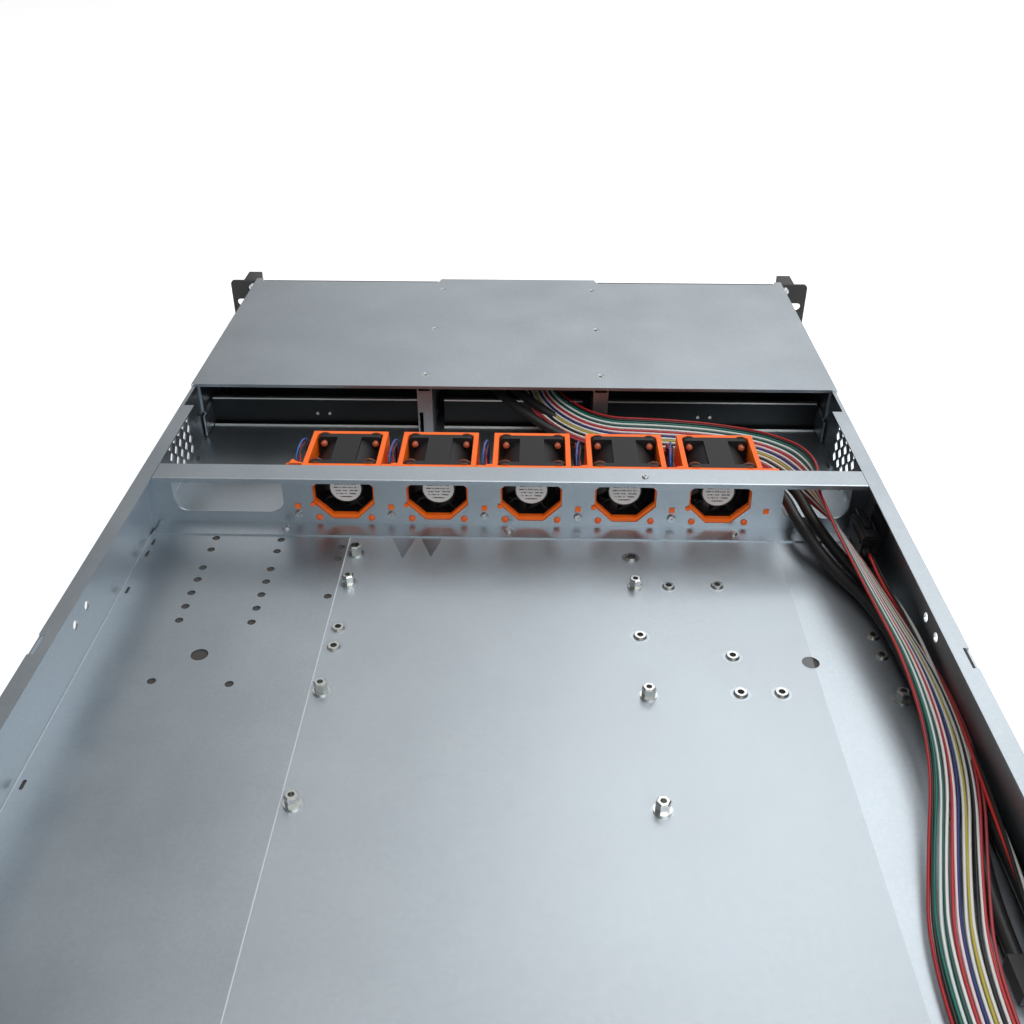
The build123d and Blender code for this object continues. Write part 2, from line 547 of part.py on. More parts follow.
# Ears: angle brackets with one slot each, their legs inside the side walls.
# Handles: moulded bows that taper towards the front, screwed on from behind the ears.
handle_screw_z = (HANDLE_BOTTOM + HANDLE_LEG / 2, HANDLE_TOP - HANDLE_LEG / 2)
handle_out = RACK_WIDTH / 2 - HANDLE_EDGE
handle_in = handle_out - HANDLE_WIDTH
handle_screw_x = (handle_in + handle_out) / 2
for name, side in (("left", -1), ("right", 1)):
    with BuildPart() as ear:
        with BuildSketch(Plane.XZ.offset(-wall_front)):
            ear_in = WALL_IN - EAR_LEG
            with Locations((side * (ear_in + RACK_WIDTH / 2) / 2, EAR_TOP / 2)):
                plate = Rectangle(RACK_WIDTH / 2 - ear_in, EAR_TOP)
            fillet(plate.vertices().sort_by(Axis.X)[::side][-2:], EAR_CORNER)
            with Locations((side * (RACK_WIDTH / 2 - RACK_SLOT_EDGE), RACK_HOLE_Z)):
                SlotOverall(RACK_SLOT_LENGTH, RACK_SLOT_WIDTH, mode=Mode.SUBTRACT)
            with Locations([(side * handle_screw_x, z) for z in handle_screw_z]):
                Circle(HANDLE_SCREW, mode=Mode.SUBTRACT)
        extrude(amount=EAR_PLATE)
        leg_height = under_flange - FLOOR_TOP - 4 * FIT
        with Locations((side * (WALL_IN - EAR_LEG / 2), FRONT + (EAR_PLATE + EAR_LEG_LENGTH) / 2,
                        (under_flange + FLOOR_TOP) / 2)):
            Box(EAR_LEG, EAR_LEG_LENGTH - EAR_PLATE, leg_height)
    ear.part.label = "ear_" + name
    export_step(ear.part, "parts/ear_" + name + ".step")

    with BuildPart() as handle:
        with BuildSketch(Plane.XY.offset(HANDLE_BOTTOM)):
            with BuildLine():
                Polyline(
                    (side * handle_in, FRONT),
                    (side * handle_out, FRONT),
                    (side * handle_out, FRONT - HANDLE_REACH),
                    (side * (handle_out - HANDLE_FRONT_WIDTH), FRONT - HANDLE_REACH),
                    close=True,
                )
            make_face()
        extrude(amount=HANDLE_TOP - HANDLE_BOTTOM)
        bow_front = handle.edges().filter_by(Axis.X).group_by(Axis.Y)[0]
        fillet(bow_front, HANDLE_LEG * 0.8)
        with BuildSketch(Plane.YZ.offset(side * (handle_in - FIT))):
            with Locations((FRONT + HANDLE_BAR / 2 - HANDLE_REACH / 2, (HANDLE_BOTTOM + HANDLE_TOP) / 2)):
                gap = Rectangle(HANDLE_REACH - HANDLE_BAR, HANDLE_TOP - HANDLE_BOTTOM - 2 * HANDLE_LEG)
            fillet(gap.vertices().group_by(Axis.X)[0], HANDLE_LEG * 0.6)
        extrude(amount=side * (HANDLE_WIDTH + 2 * FIT), mode=Mode.SUBTRACT)
        with BuildSketch(Plane.XZ.offset(-FRONT)):
            with Locations([(side * handle_screw_x, z) for z in handle_screw_z]):
                Circle(HANDLE_SCREW)
        extrude(amount=HANDLE_REACH / 4, mode=Mode.SUBTRACT)
    handle.part.label = "handle_" + name
    export_step(handle.part, "parts/handle_" + name + ".step")


# Handle screws: through the ear from behind, into the legs of the bow.
with BuildPart() as handle_screws:
    for side in (-1, 1):
        with BuildSketch(Plane.XZ.offset(-wall_front)):
            with Locations([(side * handle_screw_x, z) for z in handle_screw_z]):
                Circle(2 * HANDLE_SCREW * 0.9)
        extrude(amount=-HANDLE_SCREW * 0.7)
        with BuildSketch(Plane.XZ.offset(-wall_front)):
            with Locations([(side * handle_screw_x, z) for z in handle_screw_z]):
                Circle(HANDLE_SCREW - 0.1)
        extrude(amount=EAR_PLATE + HANDLE_REACH / 5)
handle_screws.part.label = "handle_screws"
export_step(handle_screws.part, "parts/handle_screws.step")


# Bay blanks: plastic fronts with shallow grooves, open behind.
for name, side in (("left", -1), ("right", 1)):
    blank_in = PANEL_HALF + FIT
    blank_out = WALL_IN - EAR_LEG - FIT
    blank_middle = side * (blank_in + blank_out) / 2
    blank_width = blank_out - blank_in
    with BuildPart() as bay_blank:
        with BuildSketch(Plane.XZ.offset(-FRONT)):
            with Locations((blank_middle, (BLANK_BOTTOM + BLANK_TOP) / 2)):
                RectangleRounded(blank_width, BLANK_TOP - BLANK_BOTTOM, BLANK_WALL)
        extrude(amount=-BLANK_DEPTH)
        with BuildSketch(Plane.XZ.offset(-(FRONT + BLANK_DEPTH))):
            with Locations((blank_middle, (BLANK_BOTTOM + BLANK_TOP) / 2)):
                Rectangle(blank_width - 2 * BLANK_WALL, BLANK_TOP - BLANK_BOTTOM - 2 * BLANK_WALL)
        extrude(amount=BLANK_DEPTH - 2 * BLANK_WALL, mode=Mode.SUBTRACT)
        with BuildSketch(Plane.XZ.offset(-FRONT)):
            with Locations((blank_middle, (BLANK_BOTTOM + BLANK_TOP) / 2)):
                with GridLocations(0, (BLANK_TOP - BLANK_BOTTOM) / 5, 1, 4):
                    Rectangle(blank_width - 8 * BLANK_WALL, BLANK_GROOVE)
        extrude(amount=-BLANK_GROOVE, mode=Mode.SUBTRACT)
    bay_blank.part.label = "bay_blank_" + name
    export_step(bay_blank.part, "parts/bay_blank_" + name + ".step")


# Control panel: a plate with holes for the buttons and lights, air slots and four bosses behind.
with BuildPart() as control_panel:
    with BuildSketch(Plane.XZ.offset(-FRONT)):
        with Locations((0, (BLANK_BOTTOM + PANEL_TOP) / 2)):
            Rectangle(2 * PANEL_HALF, PANEL_TOP - BLANK_BOTTOM)
        with Locations((POWER_X, BUTTON_Z)):
            Circle(POWER_RADIUS + BUTTON_GAP, mode=Mode.SUBTRACT)
        with Locations((RESET_X, BUTTON_Z)):
            Circle(RESET_RADIUS + BUTTON_GAP, mode=Mode.SUBTRACT)
        with Locations([(x, BUTTON_Z) for x in LIGHT_PLACES]):
            Circle(LIGHT_RADIUS, mode=Mode.SUBTRACT)
        with Locations((0, BOARD_Z)):
            with GridLocations(0, PANEL_SLOT_PITCH, 1, 3):
                SlotOverall(PANEL_SLOT_LENGTH, PANEL_SLOT_WIDTH, mode=Mode.SUBTRACT)
    extrude(amount=-PANEL_SHEET)
    boss_x = BOARD_WIDTH / 2 - 2 * BOSS
    boss_z = BOARD_HEIGHT / 2 - 1.5 * BOSS
    with BuildSketch(Plane.XZ.offset(-(FRONT + PANEL_SHEET))):
        with Locations((0, BOARD_Z)):
            with GridLocations(2 * boss_x, 2 * boss_z, 2, 2):
                Circle(BOSS)
    extrude(amount=-BOARD_GAP)
control_panel.part.label = "control_panel"
export_step(control_panel.part, "parts/control_panel.step")


# Control board: stands on the panel's bosses, with two push switches and the ribbon's socket.
board_front = FRONT + PANEL_SHEET + BOARD_GAP
board_rear = board_front + BOARD_THICK
button_back = FRONT + PANEL_SHEET + FIT + BUTTON_FLANGE_THICK
switch_length = board_front - button_back - BUTTON_TRAVEL - FIT
with BuildPart() as control_board:
    with BuildSketch(Plane.XZ.offset(-board_front)):
        with Locations((0, BOARD_Z)):
            Rectangle(BOARD_WIDTH, BOARD_HEIGHT)
    extrude(amount=-BOARD_THICK)
    with BuildSketch(Plane.XZ.offset(-board_front)):
        with Locations((POWER_X, BUTTON_Z), (RESET_X, BUTTON_Z)):
            Rectangle(SWITCH_SIDE, SWITCH_SIDE)
    extrude(amount=switch_length)
    with BuildSketch(Plane.XZ.offset(-board_rear)):
        with Locations((SOCKET_X, BOARD_Z)):
            Rectangle(RIBBON_WIDTH + SOCKET_MARGIN, SOCKET_HEIGHT)
        with Locations([(route[0][0], BOARD_Z) for route in (CABLE_1_ROUTE, CABLE_2_ROUTE)]):
            Rectangle(CABLE_DIAMETER + CABLE_SOCKET_MARGIN, SOCKET_HEIGHT)
    extrude(amount=-SOCKET_DEPTH)
control_board.part.label = "control_board"
export_step(control_board.part, "parts/control_board.step")


# Buttons: round caps with a flange that stays behind the panel. Each slides in along Y.
for name, place, radius in (("power", POWER_X, POWER_RADIUS), ("reset", RESET_X, RESET_RADIUS)):
    with BuildPart() as button:
        with BuildSketch(Plane.XZ.offset(-(FRONT - BUTTON_STAND))):
            with Locations((place, BUTTON_Z)):
                Circle(radius)
        extrude(amount=-(BUTTON_STAND + PANEL_SHEET + FIT))
        rim = button.edges().filter_by(GeomType.CIRCLE).sort_by(Axis.Y)[0]
        fillet(rim, BUTTON_STAND / 4)
        with BuildSketch(Plane.XZ.offset(-(FRONT + PANEL_SHEET + FIT))):
            with Locations((place, BUTTON_Z)):
                Circle(radius + BUTTON_FLANGE)
        extrude(amount=-BUTTON_FLANGE_THICK)
    button.part.label = name + "_button"
    export_step(button.part, "parts/" + name + "_button.step")


# Status lights: short light pipes pressed into the panel.
with BuildPart() as status_lights:
    for place in LIGHT_PLACES:
        with BuildSketch(Plane.XZ.offset(-(FRONT - 0.4))):
            with Locations((place, BUTTON_Z)):
                Circle(LIGHT_RADIUS)
        extrude(amount=-(0.4 + PANEL_SHEET + BOARD_GAP))
status_lights.part.label = "status_lights"
export_step(status_lights.part, "parts/status_lights.step")


# Fan wall: a sheet across the case with a bar on top, a foot below and a flange at each end.
# Each fan blows through an eight-sided cut-out, and the cables pass through two wide openings.
wall_rear = FRONT + FAN_WALL
with BuildPart() as fan_wall:
    with BuildSketch(Plane.XZ.offset(-wall_rear)):
        with Locations((0, (FLOOR_TOP + under_flange - FIT) / 2)):
            web = Rectangle(2 * WALL_IN, under_flange - FIT - FLOOR_TOP)
        fillet(web.vertices().group_by(Axis.Y)[0], BEND_RADIUS)
        with Locations((0, (FLOOR_TOP + WALL_HEIGHT) / 2)):
            Rectangle(2 * bar_half, WALL_HEIGHT - FLOOR_TOP)
        for centre in fan_centres:
            with Locations((centre, FAN_Z)):
                with GridLocations(FAN_HOLE_PITCH, FAN_HOLE_PITCH, 2, 2):
                    Circle(FAN_PIN, mode=Mode.SUBTRACT)
        with Locations([(place, z) for place in hook_places for z in HOOK_ZS]):
            Rectangle(HOOK_SIDE, HOOK_SIDE, mode=Mode.SUBTRACT)
    extrude(amount=SHEET)
    wide_low = fan_centres[-1] + FAN_PITCH / 2 + WIDE_OPENING_GAP
    cable_low = CABLE_OPENING_EDGE - WALL_IN
    for low_x, high_x in (
        (wide_low, WALL_IN - WIDE_OPENING_EDGE),
        (cable_low, cable_low + CABLE_OPENING_WIDTH),
    ):
        with BuildSketch(Plane.XZ.offset(-wall_rear)):
            with Locations(((low_x + high_x) / 2, (OPENING_LOW + OPENING_TOP) / 2)):
                RectangleRounded(high_x - low_x, OPENING_TOP - OPENING_LOW, OPENING_CORNER)
        extrude(amount=SHEET, mode=Mode.SUBTRACT)
    for centre in fan_centres:
        with BuildSketch(Plane.XZ.offset(-wall_rear)) as cut_out:
            with Locations((centre, (CUT_OUT_LOW + CUT_OUT_TOP) / 2)):
                Rectangle(CUT_OUT_WIDTH, CUT_OUT_TOP - CUT_OUT_LOW)
            chamfer(cut_out.vertices(), CUT_OUT_CORNER)
        extrude(amount=SHEET, mode=Mode.SUBTRACT)
    with Locations((0, wall_rear + BAR_DEPTH / 2, WALL_HEIGHT - SHEET / 2)):
        Box(2 * bar_half, BAR_DEPTH, SHEET)
    with Locations((0, wall_rear + BAR_DEPTH - SHEET / 2, WALL_HEIGHT - BAR_LIP / 2)):
        Box(2 * bar_half, SHEET, BAR_LIP)
    with Locations((0, wall_rear + WALL_FOOT / 2, FLOOR_TOP + SHEET / 2)):
        Box(2 * WALL_IN - 2 * SHEET, WALL_FOOT, SHEET)
    for side in (-1, 1):
        with Locations((side * (WALL_IN - SHEET / 2), wall_rear + WALL_END_FLANGE / 2, under_flange / 2)):
            Box(SHEET, WALL_END_FLANGE, under_flange - 6 * SHEET)
    bar_edge = fan_wall.edges().filter_by(Axis.X).sort_by_distance((0, wall_rear + BAR_DEPTH, WALL_HEIGHT))[0]
    fillet(bar_edge, SHEET * 0.8)
fan_wall.part.label = "fan_wall"
export_step(fan_wall.part, "parts/fan_wall.step")


# Wall screws: they hold the fan wall's foot and face, and the low stops behind the bays.
face_screws = [(a + b) / 2 for a, b in zip(fan_centres, fan_centres[1:])]
face_screws.append(fan_centres[-1] + FAN_PITCH / 2)
with BuildPart() as wall_screws:
    for place in FOOT_SCREWS:
        with Locations((place, wall_rear + WALL_FOOT / 2, FLOOR_TOP + SHEET)):
            Cylinder(SCREW_HEAD, SCREW_HEAD / 2, align=(Align.CENTER, Align.CENTER, Align.MIN))
    with BuildSketch(Plane.XZ.offset(-wall_rear)):
        with Locations([(place, WALL_SCREW_Z) for place in face_screws]):
            Circle(SCREW_HEAD * 0.8)
    extrude(amount=-SCREW_HEAD / 2)
    with BuildSketch(Plane.XZ.offset(-(FRONT + STOP_PLACE))):
        with Locations([(side * place, STOP_SCREW_Z) for side in (-1, 1) for place in STOP_SCREWS]):
            Circle(SCREW_HEAD / 2)
    extrude(amount=-SCREW_HEAD / 3)
wall_screws.part.label = "wall_screws"
export_step(wall_screws.part, "parts/wall_screws.step")


# Fan holders: orange trays, open on top, that hook into the fan wall.
# The ring behind the fan is a little smaller than the wall's cut-out, so its lip shows.
# Fans: a square frame at each end, a round waist between, and a motor hub on curved struts.
for number, centre in enumerate(fan_centres, 1):
    inner_width = HOLDER_WIDTH - 2 * HOLDER_WALL
    holder_top = FAN_Z + FAN_SIDE / 2
    inner_low = FLOOR_TOP + HOLDER_FLOOR
    with BuildPart() as fan_holder:
        with BuildSketch(Plane.XZ.offset(-fan_rear)):
            with Locations((centre, (FLOOR_TOP + holder_top) / 2)):
                Rectangle(HOLDER_WIDTH, holder_top - FLOOR_TOP)
        extrude(amount=HOLDER_LENGTH)
        with BuildSketch(Plane.XY.offset(inner_low)) as tray:
            with Locations((centre, fan_rear - HOLDER_LENGTH / 2)):
                Rectangle(inner_width, HOLDER_LENGTH - 2 * HOLDER_WALL)
            fillet(tray.vertices(), HOLDER_CORNER)
        extrude(amount=holder_top, mode=Mode.SUBTRACT)
        with BuildSketch(Plane.XZ.offset(-fan_rear)) as ring:
            ring_low = CUT_OUT_LOW + HOLDER_LOW_LIP
            ring_top = CUT_OUT_TOP - HOLDER_LIP
            with Locations((centre, (ring_low + ring_top) / 2)):
                Rectangle(CUT_OUT_WIDTH - 2 * HOLDER_LIP, ring_top - ring_low)
            chamfer(ring.vertices(), HOLDER_RING_CORNER)
        extrude(amount=HOLDER_LENGTH, mode=Mode.SUBTRACT)
        with BuildSketch(Plane.XZ.offset(-fan_rear)):
            with Locations((centre, FAN_Z)):
                with GridLocations(FAN_HOLE_PITCH, FAN_HOLE_PITCH, 2, 2):
                    Circle(FAN_PIN)
        extrude(amount=HOLDER_LENGTH, mode=Mode.SUBTRACT)
        strip = FAN_PITCH - HOLDER_WIDTH - FIT
        ways = (-1, 1) if number == 1 else (1,)
        with BuildSketch(Plane.XZ.offset(-fan_rear)):
            strip_middles = [centre + way * (HOLDER_WIDTH + strip) / 2 for way in ways]
            with Locations([(place, (FLOOR_TOP + holder_top) / 2) for place in strip_middles]):
                Rectangle(strip, holder_top - FLOOR_TOP)
        extrude(amount=HOLDER_STRIP)
        with BuildSketch(Plane.XZ.offset(-fan_rear)):
            with Locations([(centre + way * FAN_PITCH / 2, z) for way in ways for z in HOOK_ZS]):
                Rectangle(HOOK_SIDE - FIT, HOOK_SIDE - FIT)
        extrude(amount=-(SHEET + HOOK_STAND))
    fan_holder.part.label = "fan_holder_" + str(number)
    export_step(fan_holder.part, "parts/fan_holder_" + str(number) + ".step")

    fan_back = fan_front + FAN_DEPTH
    with BuildPart() as fan_frame:
        with BuildSketch(Plane.XZ.offset(-fan_front)):
            with Locations((centre, FAN_Z)):
                Circle(FAN_WAIST / 2)
                Rectangle(FAN_RIB, FAN_SIDE)
                Rectangle(FAN_SIDE, FAN_RIB)
        extrude(amount=-FAN_DEPTH)
        for plane_y, way in ((fan_front, -1), (fan_back, 1)):
            with BuildSketch(Plane.XZ.offset(-plane_y)):
                with Locations((centre, FAN_Z)):
                    RectangleRounded(FAN_SIDE, FAN_SIDE, FAN_FLANGE * 0.7)
                    with GridLocations(FAN_HOLE_PITCH, FAN_HOLE_PITCH, 2, 2):
                        Circle(FAN_PIN, mode=Mode.SUBTRACT)
            extrude(amount=way * FAN_FLANGE)
        with BuildSketch(Plane.XZ.offset(-fan_front)):
            with Locations((centre, FAN_Z)):
                Circle(FAN_BORE / 2)
        extrude(amount=-FAN_DEPTH, mode=Mode.SUBTRACT)
        hub_rear = fan_back - FAN_HUB_INSET
        with BuildSketch(Plane.XZ.offset(-hub_rear)):
            with Locations((centre, FAN_Z)):
                Circle(FAN_HUB)
        extrude(amount=FAN_HUB_THICK)
        with BuildSketch(Plane.XZ.offset(-hub_rear)):
            for turn in range(STRUT_COUNT):
                angle = math.radians(45 + 360 * turn / STRUT_COUNT)
                side_way = math.radians(135 + 360 * turn / STRUT_COUNT)
                near = FAN_HUB - STRUT_WIDTH
                far = FAN_BORE / 2 + STRUT_WIDTH / 4
                middle = (near + far) / 2
                with BuildLine():
                    ThreePointArc(
                        (centre + near * math.cos(angle), FAN_Z + near * math.sin(angle)),
                        (centre + middle * math.cos(angle) + STRUT_BOW * math.cos(side_way),
                         FAN_Z + middle * math.sin(angle) + STRUT_BOW * math.sin(side_way)),
                        (centre + far * math.cos(angle), FAN_Z + far * math.sin(angle)),
                    )
                trace(line_width=STRUT_WIDTH)
        extrude(amount=STRUT_THICK)
    fan_frame.part.label = "fan_frame_" + str(number)
    export_step(fan_frame.part, "parts/fan_frame_" + str(number) + ".step")

    rotor_rear = hub_rear - FAN_HUB_THICK - ROTOR_GAP
    rotor_front = rotor_rear - ROTOR_LENGTH
    with BuildPart() as fan_rotor:
        with BuildSketch(Plane.XZ.offset(-rotor_rear)):
            with Locations((centre, FAN_Z)):
                Circle(ROTOR_HUB)
        extrude(amount=ROTOR_LENGTH)
        fillet(fan_rotor.edges().filter_by(GeomType.CIRCLE).sort_by(Axis.Y)[0], ROTOR_HUB / 8)
        for turn in range(BLADE_COUNT):
            angle = 360 * turn / BLADE_COUNT
            out = (math.cos(math.radians(angle)), 0, math.sin(math.radians(angle)))
            for radius, twist, chord in (
                (ROTOR_HUB - BLADE_THICK, ROOT_TWIST, ROOT_CHORD),
                (BLADE_TIP, TIP_TWIST, TIP_CHORD),
            ):
                blade_plane = Plane(
                    origin=(centre + radius * out[0], (rotor_front + rotor_rear) / 2, FAN_Z + radius * out[2]),
                    x_dir=(0, 1, 0),
                    z_dir=out,
                )
                with BuildSketch(blade_plane):
                    Rectangle(chord, BLADE_THICK, rotation=twist)
            loft()
    fan_rotor.part.label = "fan_rotor_" + str(number)
    export_step(fan_rotor.part, "parts/fan_rotor_" + str(number) + ".step")


# Fan leads: each fan's own short lead loops beside its holder to a small plug on the floor.
def corner_radii(points, smallest):
    vectors = [Vector(*point) for point in points]
    radii = []
    for before, corner, after in zip(vectors, vectors[1:], vectors[2:]):
        turn = math.radians((corner - before).get_angle(after - corner))
        run = min((corner - before).length, (after - corner).length)
        radii.append(max(smallest, 0.45 * run / math.tan(turn / 2)))
    return radii


def tell_cord(name, radii, length, volume, section):
    print(name, "radii", [round(radius, 1) for radius in radii])
    print(name, "length", round(length, 1), "volume ratio", round(volume / (section * length), 3))


for number, centre in enumerate(fan_centres, 1):
    route = [(centre + x, FRONT + y, z) for x, y, z in FAN_LEAD_ROUTE]
    radii = corner_radii(route, FAN_LEAD_DIAMETER)
    with BuildPart() as fan_lead:
        with BuildLine() as lead_path:
            FilletPolyline(*route, radius=radii)
        with BuildSketch(Plane(origin=route[0], z_dir=lead_path.line % 0)):
            Circle(FAN_LEAD_DIAMETER / 2)
        sweep()
    fan_lead.part.label = "fan_lead_" + str(number)
    export_step(fan_lead.part, "parts/fan_lead_" + str(number) + ".step")
lead_section = math.pi * FAN_LEAD_DIAMETER**2 / 4
tell_cord("fan lead", radii, lead_path.wire().length, fan_lead.part.volume, lead_section)

with BuildPart() as fan_plugs:
    for centre in fan_centres:
        plug_x, plug_y, plug_top = FAN_LEAD_ROUTE[0]
        with Locations((centre + plug_x, FRONT + plug_y, plug_top - FAN_PLUG[2] / 2)):
            Box(*FAN_PLUG)
fan_plugs.part.label = "fan_plugs"
export_step(fan_plugs.part, "parts/fan_plugs.step")


# Round cables: two black ones from the control board, and the lead from the connector at the wall.
for name, points, diameter in (
    ("cable_1", CABLE_1_ROUTE, CABLE_DIAMETER),
    ("cable_2", CABLE_2_ROUTE, CABLE_DIAMETER),
    ("power_lead", LEAD_ROUTE, LEAD_DIAMETER),
):
    route = laid(points)
    radii = corner_radii(route, 3 * diameter)
    with BuildPart() as cable:
        with BuildLine() as cable_path:
            FilletPolyline(*route, radius=radii)
        with BuildSketch(Plane(origin=route[0], z_dir=cable_path.line % 0)):
            Circle(diameter / 2)
        sweep()
    cable.part.label = name
    export_step(cable.part, "parts/" + name + ".step")
    tell_cord(name, radii, cable_path.wire().length, cable.part.volume, math.pi * diameter**2 / 4)


# Ribbon cable: flat all the way, from its socket over the cables to the rear.
ribbon_route = laid(RIBBON_ROUTE)
ribbon_radii = corner_radii(ribbon_route, RIBBON_WIDTH)
with BuildPart() as ribbon_cable:
    with BuildLine() as ribbon_path:
        FilletPolyline(*ribbon_route, radius=ribbon_radii)
    with BuildSketch(Plane(origin=ribbon_route[0], x_dir=(1, 0, 0), z_dir=ribbon_path.line % 0)):
        Rectangle(RIBBON_WIDTH, RIBBON_THICK)
    sweep()
ribbon_cable.part.label = "ribbon_cable"
export_step(ribbon_cable.part, "parts/ribbon_cable.step")
ribbon_section = RIBBON_WIDTH * RIBBON_THICK
tell_cord("ribbon", ribbon_radii, ribbon_path.wire().length, ribbon_cable.part.volume, ribbon_section)


# Plugs: each lies on the floor at the rear end of its cable.
for name, route, size in (
    ("ribbon_plug", RIBBON_ROUTE, RIBBON_PLUG),
    ("cable_plug_1", CABLE_1_ROUTE, CABLE_PLUG),
    ("cable_plug_2", CABLE_2_ROUTE, CABLE_PLUG),
    ("lead_plug", LEAD_ROUTE, LEAD_PLUG),
):
    with BuildPart() as plug:
        end_x, end_y, end_z = laid(route)[-1]
        with Locations((end_x, end_y + size[1] / 2, FLOOR_TOP + size[2] / 2)):
            Box(*size)
        fillet(plug.edges().filter_by(Axis.Y), 0.5)
    plug.part.label = name
    export_step(plug.part, "parts/" + name + ".step")


# Lead connector: two halves plugged together, standing on the floor beside the wall.
with BuildPart() as lead_connector:
    connector_x, connector_rear, connector_z = laid(LEAD_ROUTE)[0]
    with Locations((connector_x, connector_rear - CONNECTOR[1] / 4, FLOOR_TOP + CONNECTOR[2] / 2)):
        Box(CONNECTOR[0], CONNECTOR[1] / 2, CONNECTOR[2])
    with Locations((connector_x, connector_rear - CONNECTOR[1] * 3 / 4, FLOOR_TOP + CONNECTOR[2] / 2)):
        Box(CONNECTOR[0] - 2 * CONNECTOR_STEP, CONNECTOR[1] / 2, CONNECTOR[2] - 2 * CONNECTOR_STEP)
    fillet(lead_connector.edges().filter_by(Axis.Y), 0.5)
lead_connector.part.label = "lead_connector"
export_step(lead_connector.part, "parts/lead_connector.step")


# Fan pins: rubber pins through the corners of each fan, with a round head behind the wall.
# A pin is a shade thinner than its holes, and its head and neck trap holder, fan and wall.
with BuildPart() as fan_pins:
    for centre in fan_centres:
        with BuildSketch(Plane.XZ.offset(-(wall_rear + PIN_HEAD_THICK))):
            with Locations((centre, FAN_Z)):
                with GridLocations(FAN_HOLE_PITCH, FAN_HOLE_PITCH, 2, 2):
                    Circle(PIN_HEAD)
        extrude(amount=PIN_HEAD_THICK)
        with BuildSketch(Plane.XZ.offset(-wall_rear)):
            with Locations((centre, FAN_Z)):
                with GridLocations(FAN_HOLE_PITCH, FAN_HOLE_PITCH, 2, 2):
                    Circle(FAN_PIN - PIN_PLAY)
        extrude(amount=HOLDER_LENGTH + SHEET)
fan_pins.part.label = "fan_pins"
export_step(fan_pins.part, "parts/fan_pins.step")


# Standoffs: six-sided, threaded for the board's screws, on a low round foot.
with BuildPart() as board_standoffs:
    with BuildSketch(Plane.XY.offset(FLOOR_TOP)):
        with Locations(standoff_places):
            RegularPolygon(STANDOFF_FLATS / 2, 6, major_radius=False)
    extrude(amount=STANDOFF_HEIGHT)
    with BuildSketch(Plane.XY.offset(FLOOR_TOP)):
        with Locations(standoff_places):
            Circle(NUT_RADIUS)
    extrude(amount=SHEET)
    with BuildSketch(Plane.XY.offset(FLOOR_TOP)):
        with Locations(standoff_places):
            Circle(STANDOFF_THREAD)
    extrude(amount=STANDOFF_HEIGHT, mode=Mode.SUBTRACT)
board_standoffs.part.label = "board_standoffs"
export_step(board_standoffs.part, "parts/board_standoffs.step")


# Clinch nuts: low threaded rings pressed into the floor for other boards.
with BuildPart() as clinch_nuts:
    with BuildSketch(Plane.XY.offset(FLOOR_TOP)):
        with Locations(nut_places):
            Circle(NUT_RADIUS)
            Circle(NUT_THREAD, mode=Mode.SUBTRACT)
    extrude(amount=NUT_HEIGHT)
clinch_nuts.part.label = "clinch_nuts"
export_step(clinch_nuts.part, "parts/clinch_nuts.step")


# Insulating film on the floor under the board, with a hole round each standoff and nut.
film_front = wall_rear + WALL_FOOT + FIT
film_rear = FRONT + behind(FILM_END)
film_right = column_a + FILM_EDGE
film_left = film_right - FILM_WIDTH
with BuildPart() as floor_film:
    with BuildSketch(Plane.XY.offset(FLOOR_TOP)):
        with Locations(((film_left + film_right) / 2, (film_front + film_rear) / 2)):
            Rectangle(FILM_WIDTH, film_rear - film_front)
        film_holes = [place for place in standoff_places + nut_places if film_left < place[0] < film_right]
        with Locations(film_holes):
            Circle(FILM_HOLE, mode=Mode.SUBTRACT)
    extrude(amount=FILM)
floor_film.part.label = "floor_film"
export_step(floor_film.part, "parts/floor_film.step")
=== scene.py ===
import json
import math

import bmesh
import bpy
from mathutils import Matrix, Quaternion, Vector

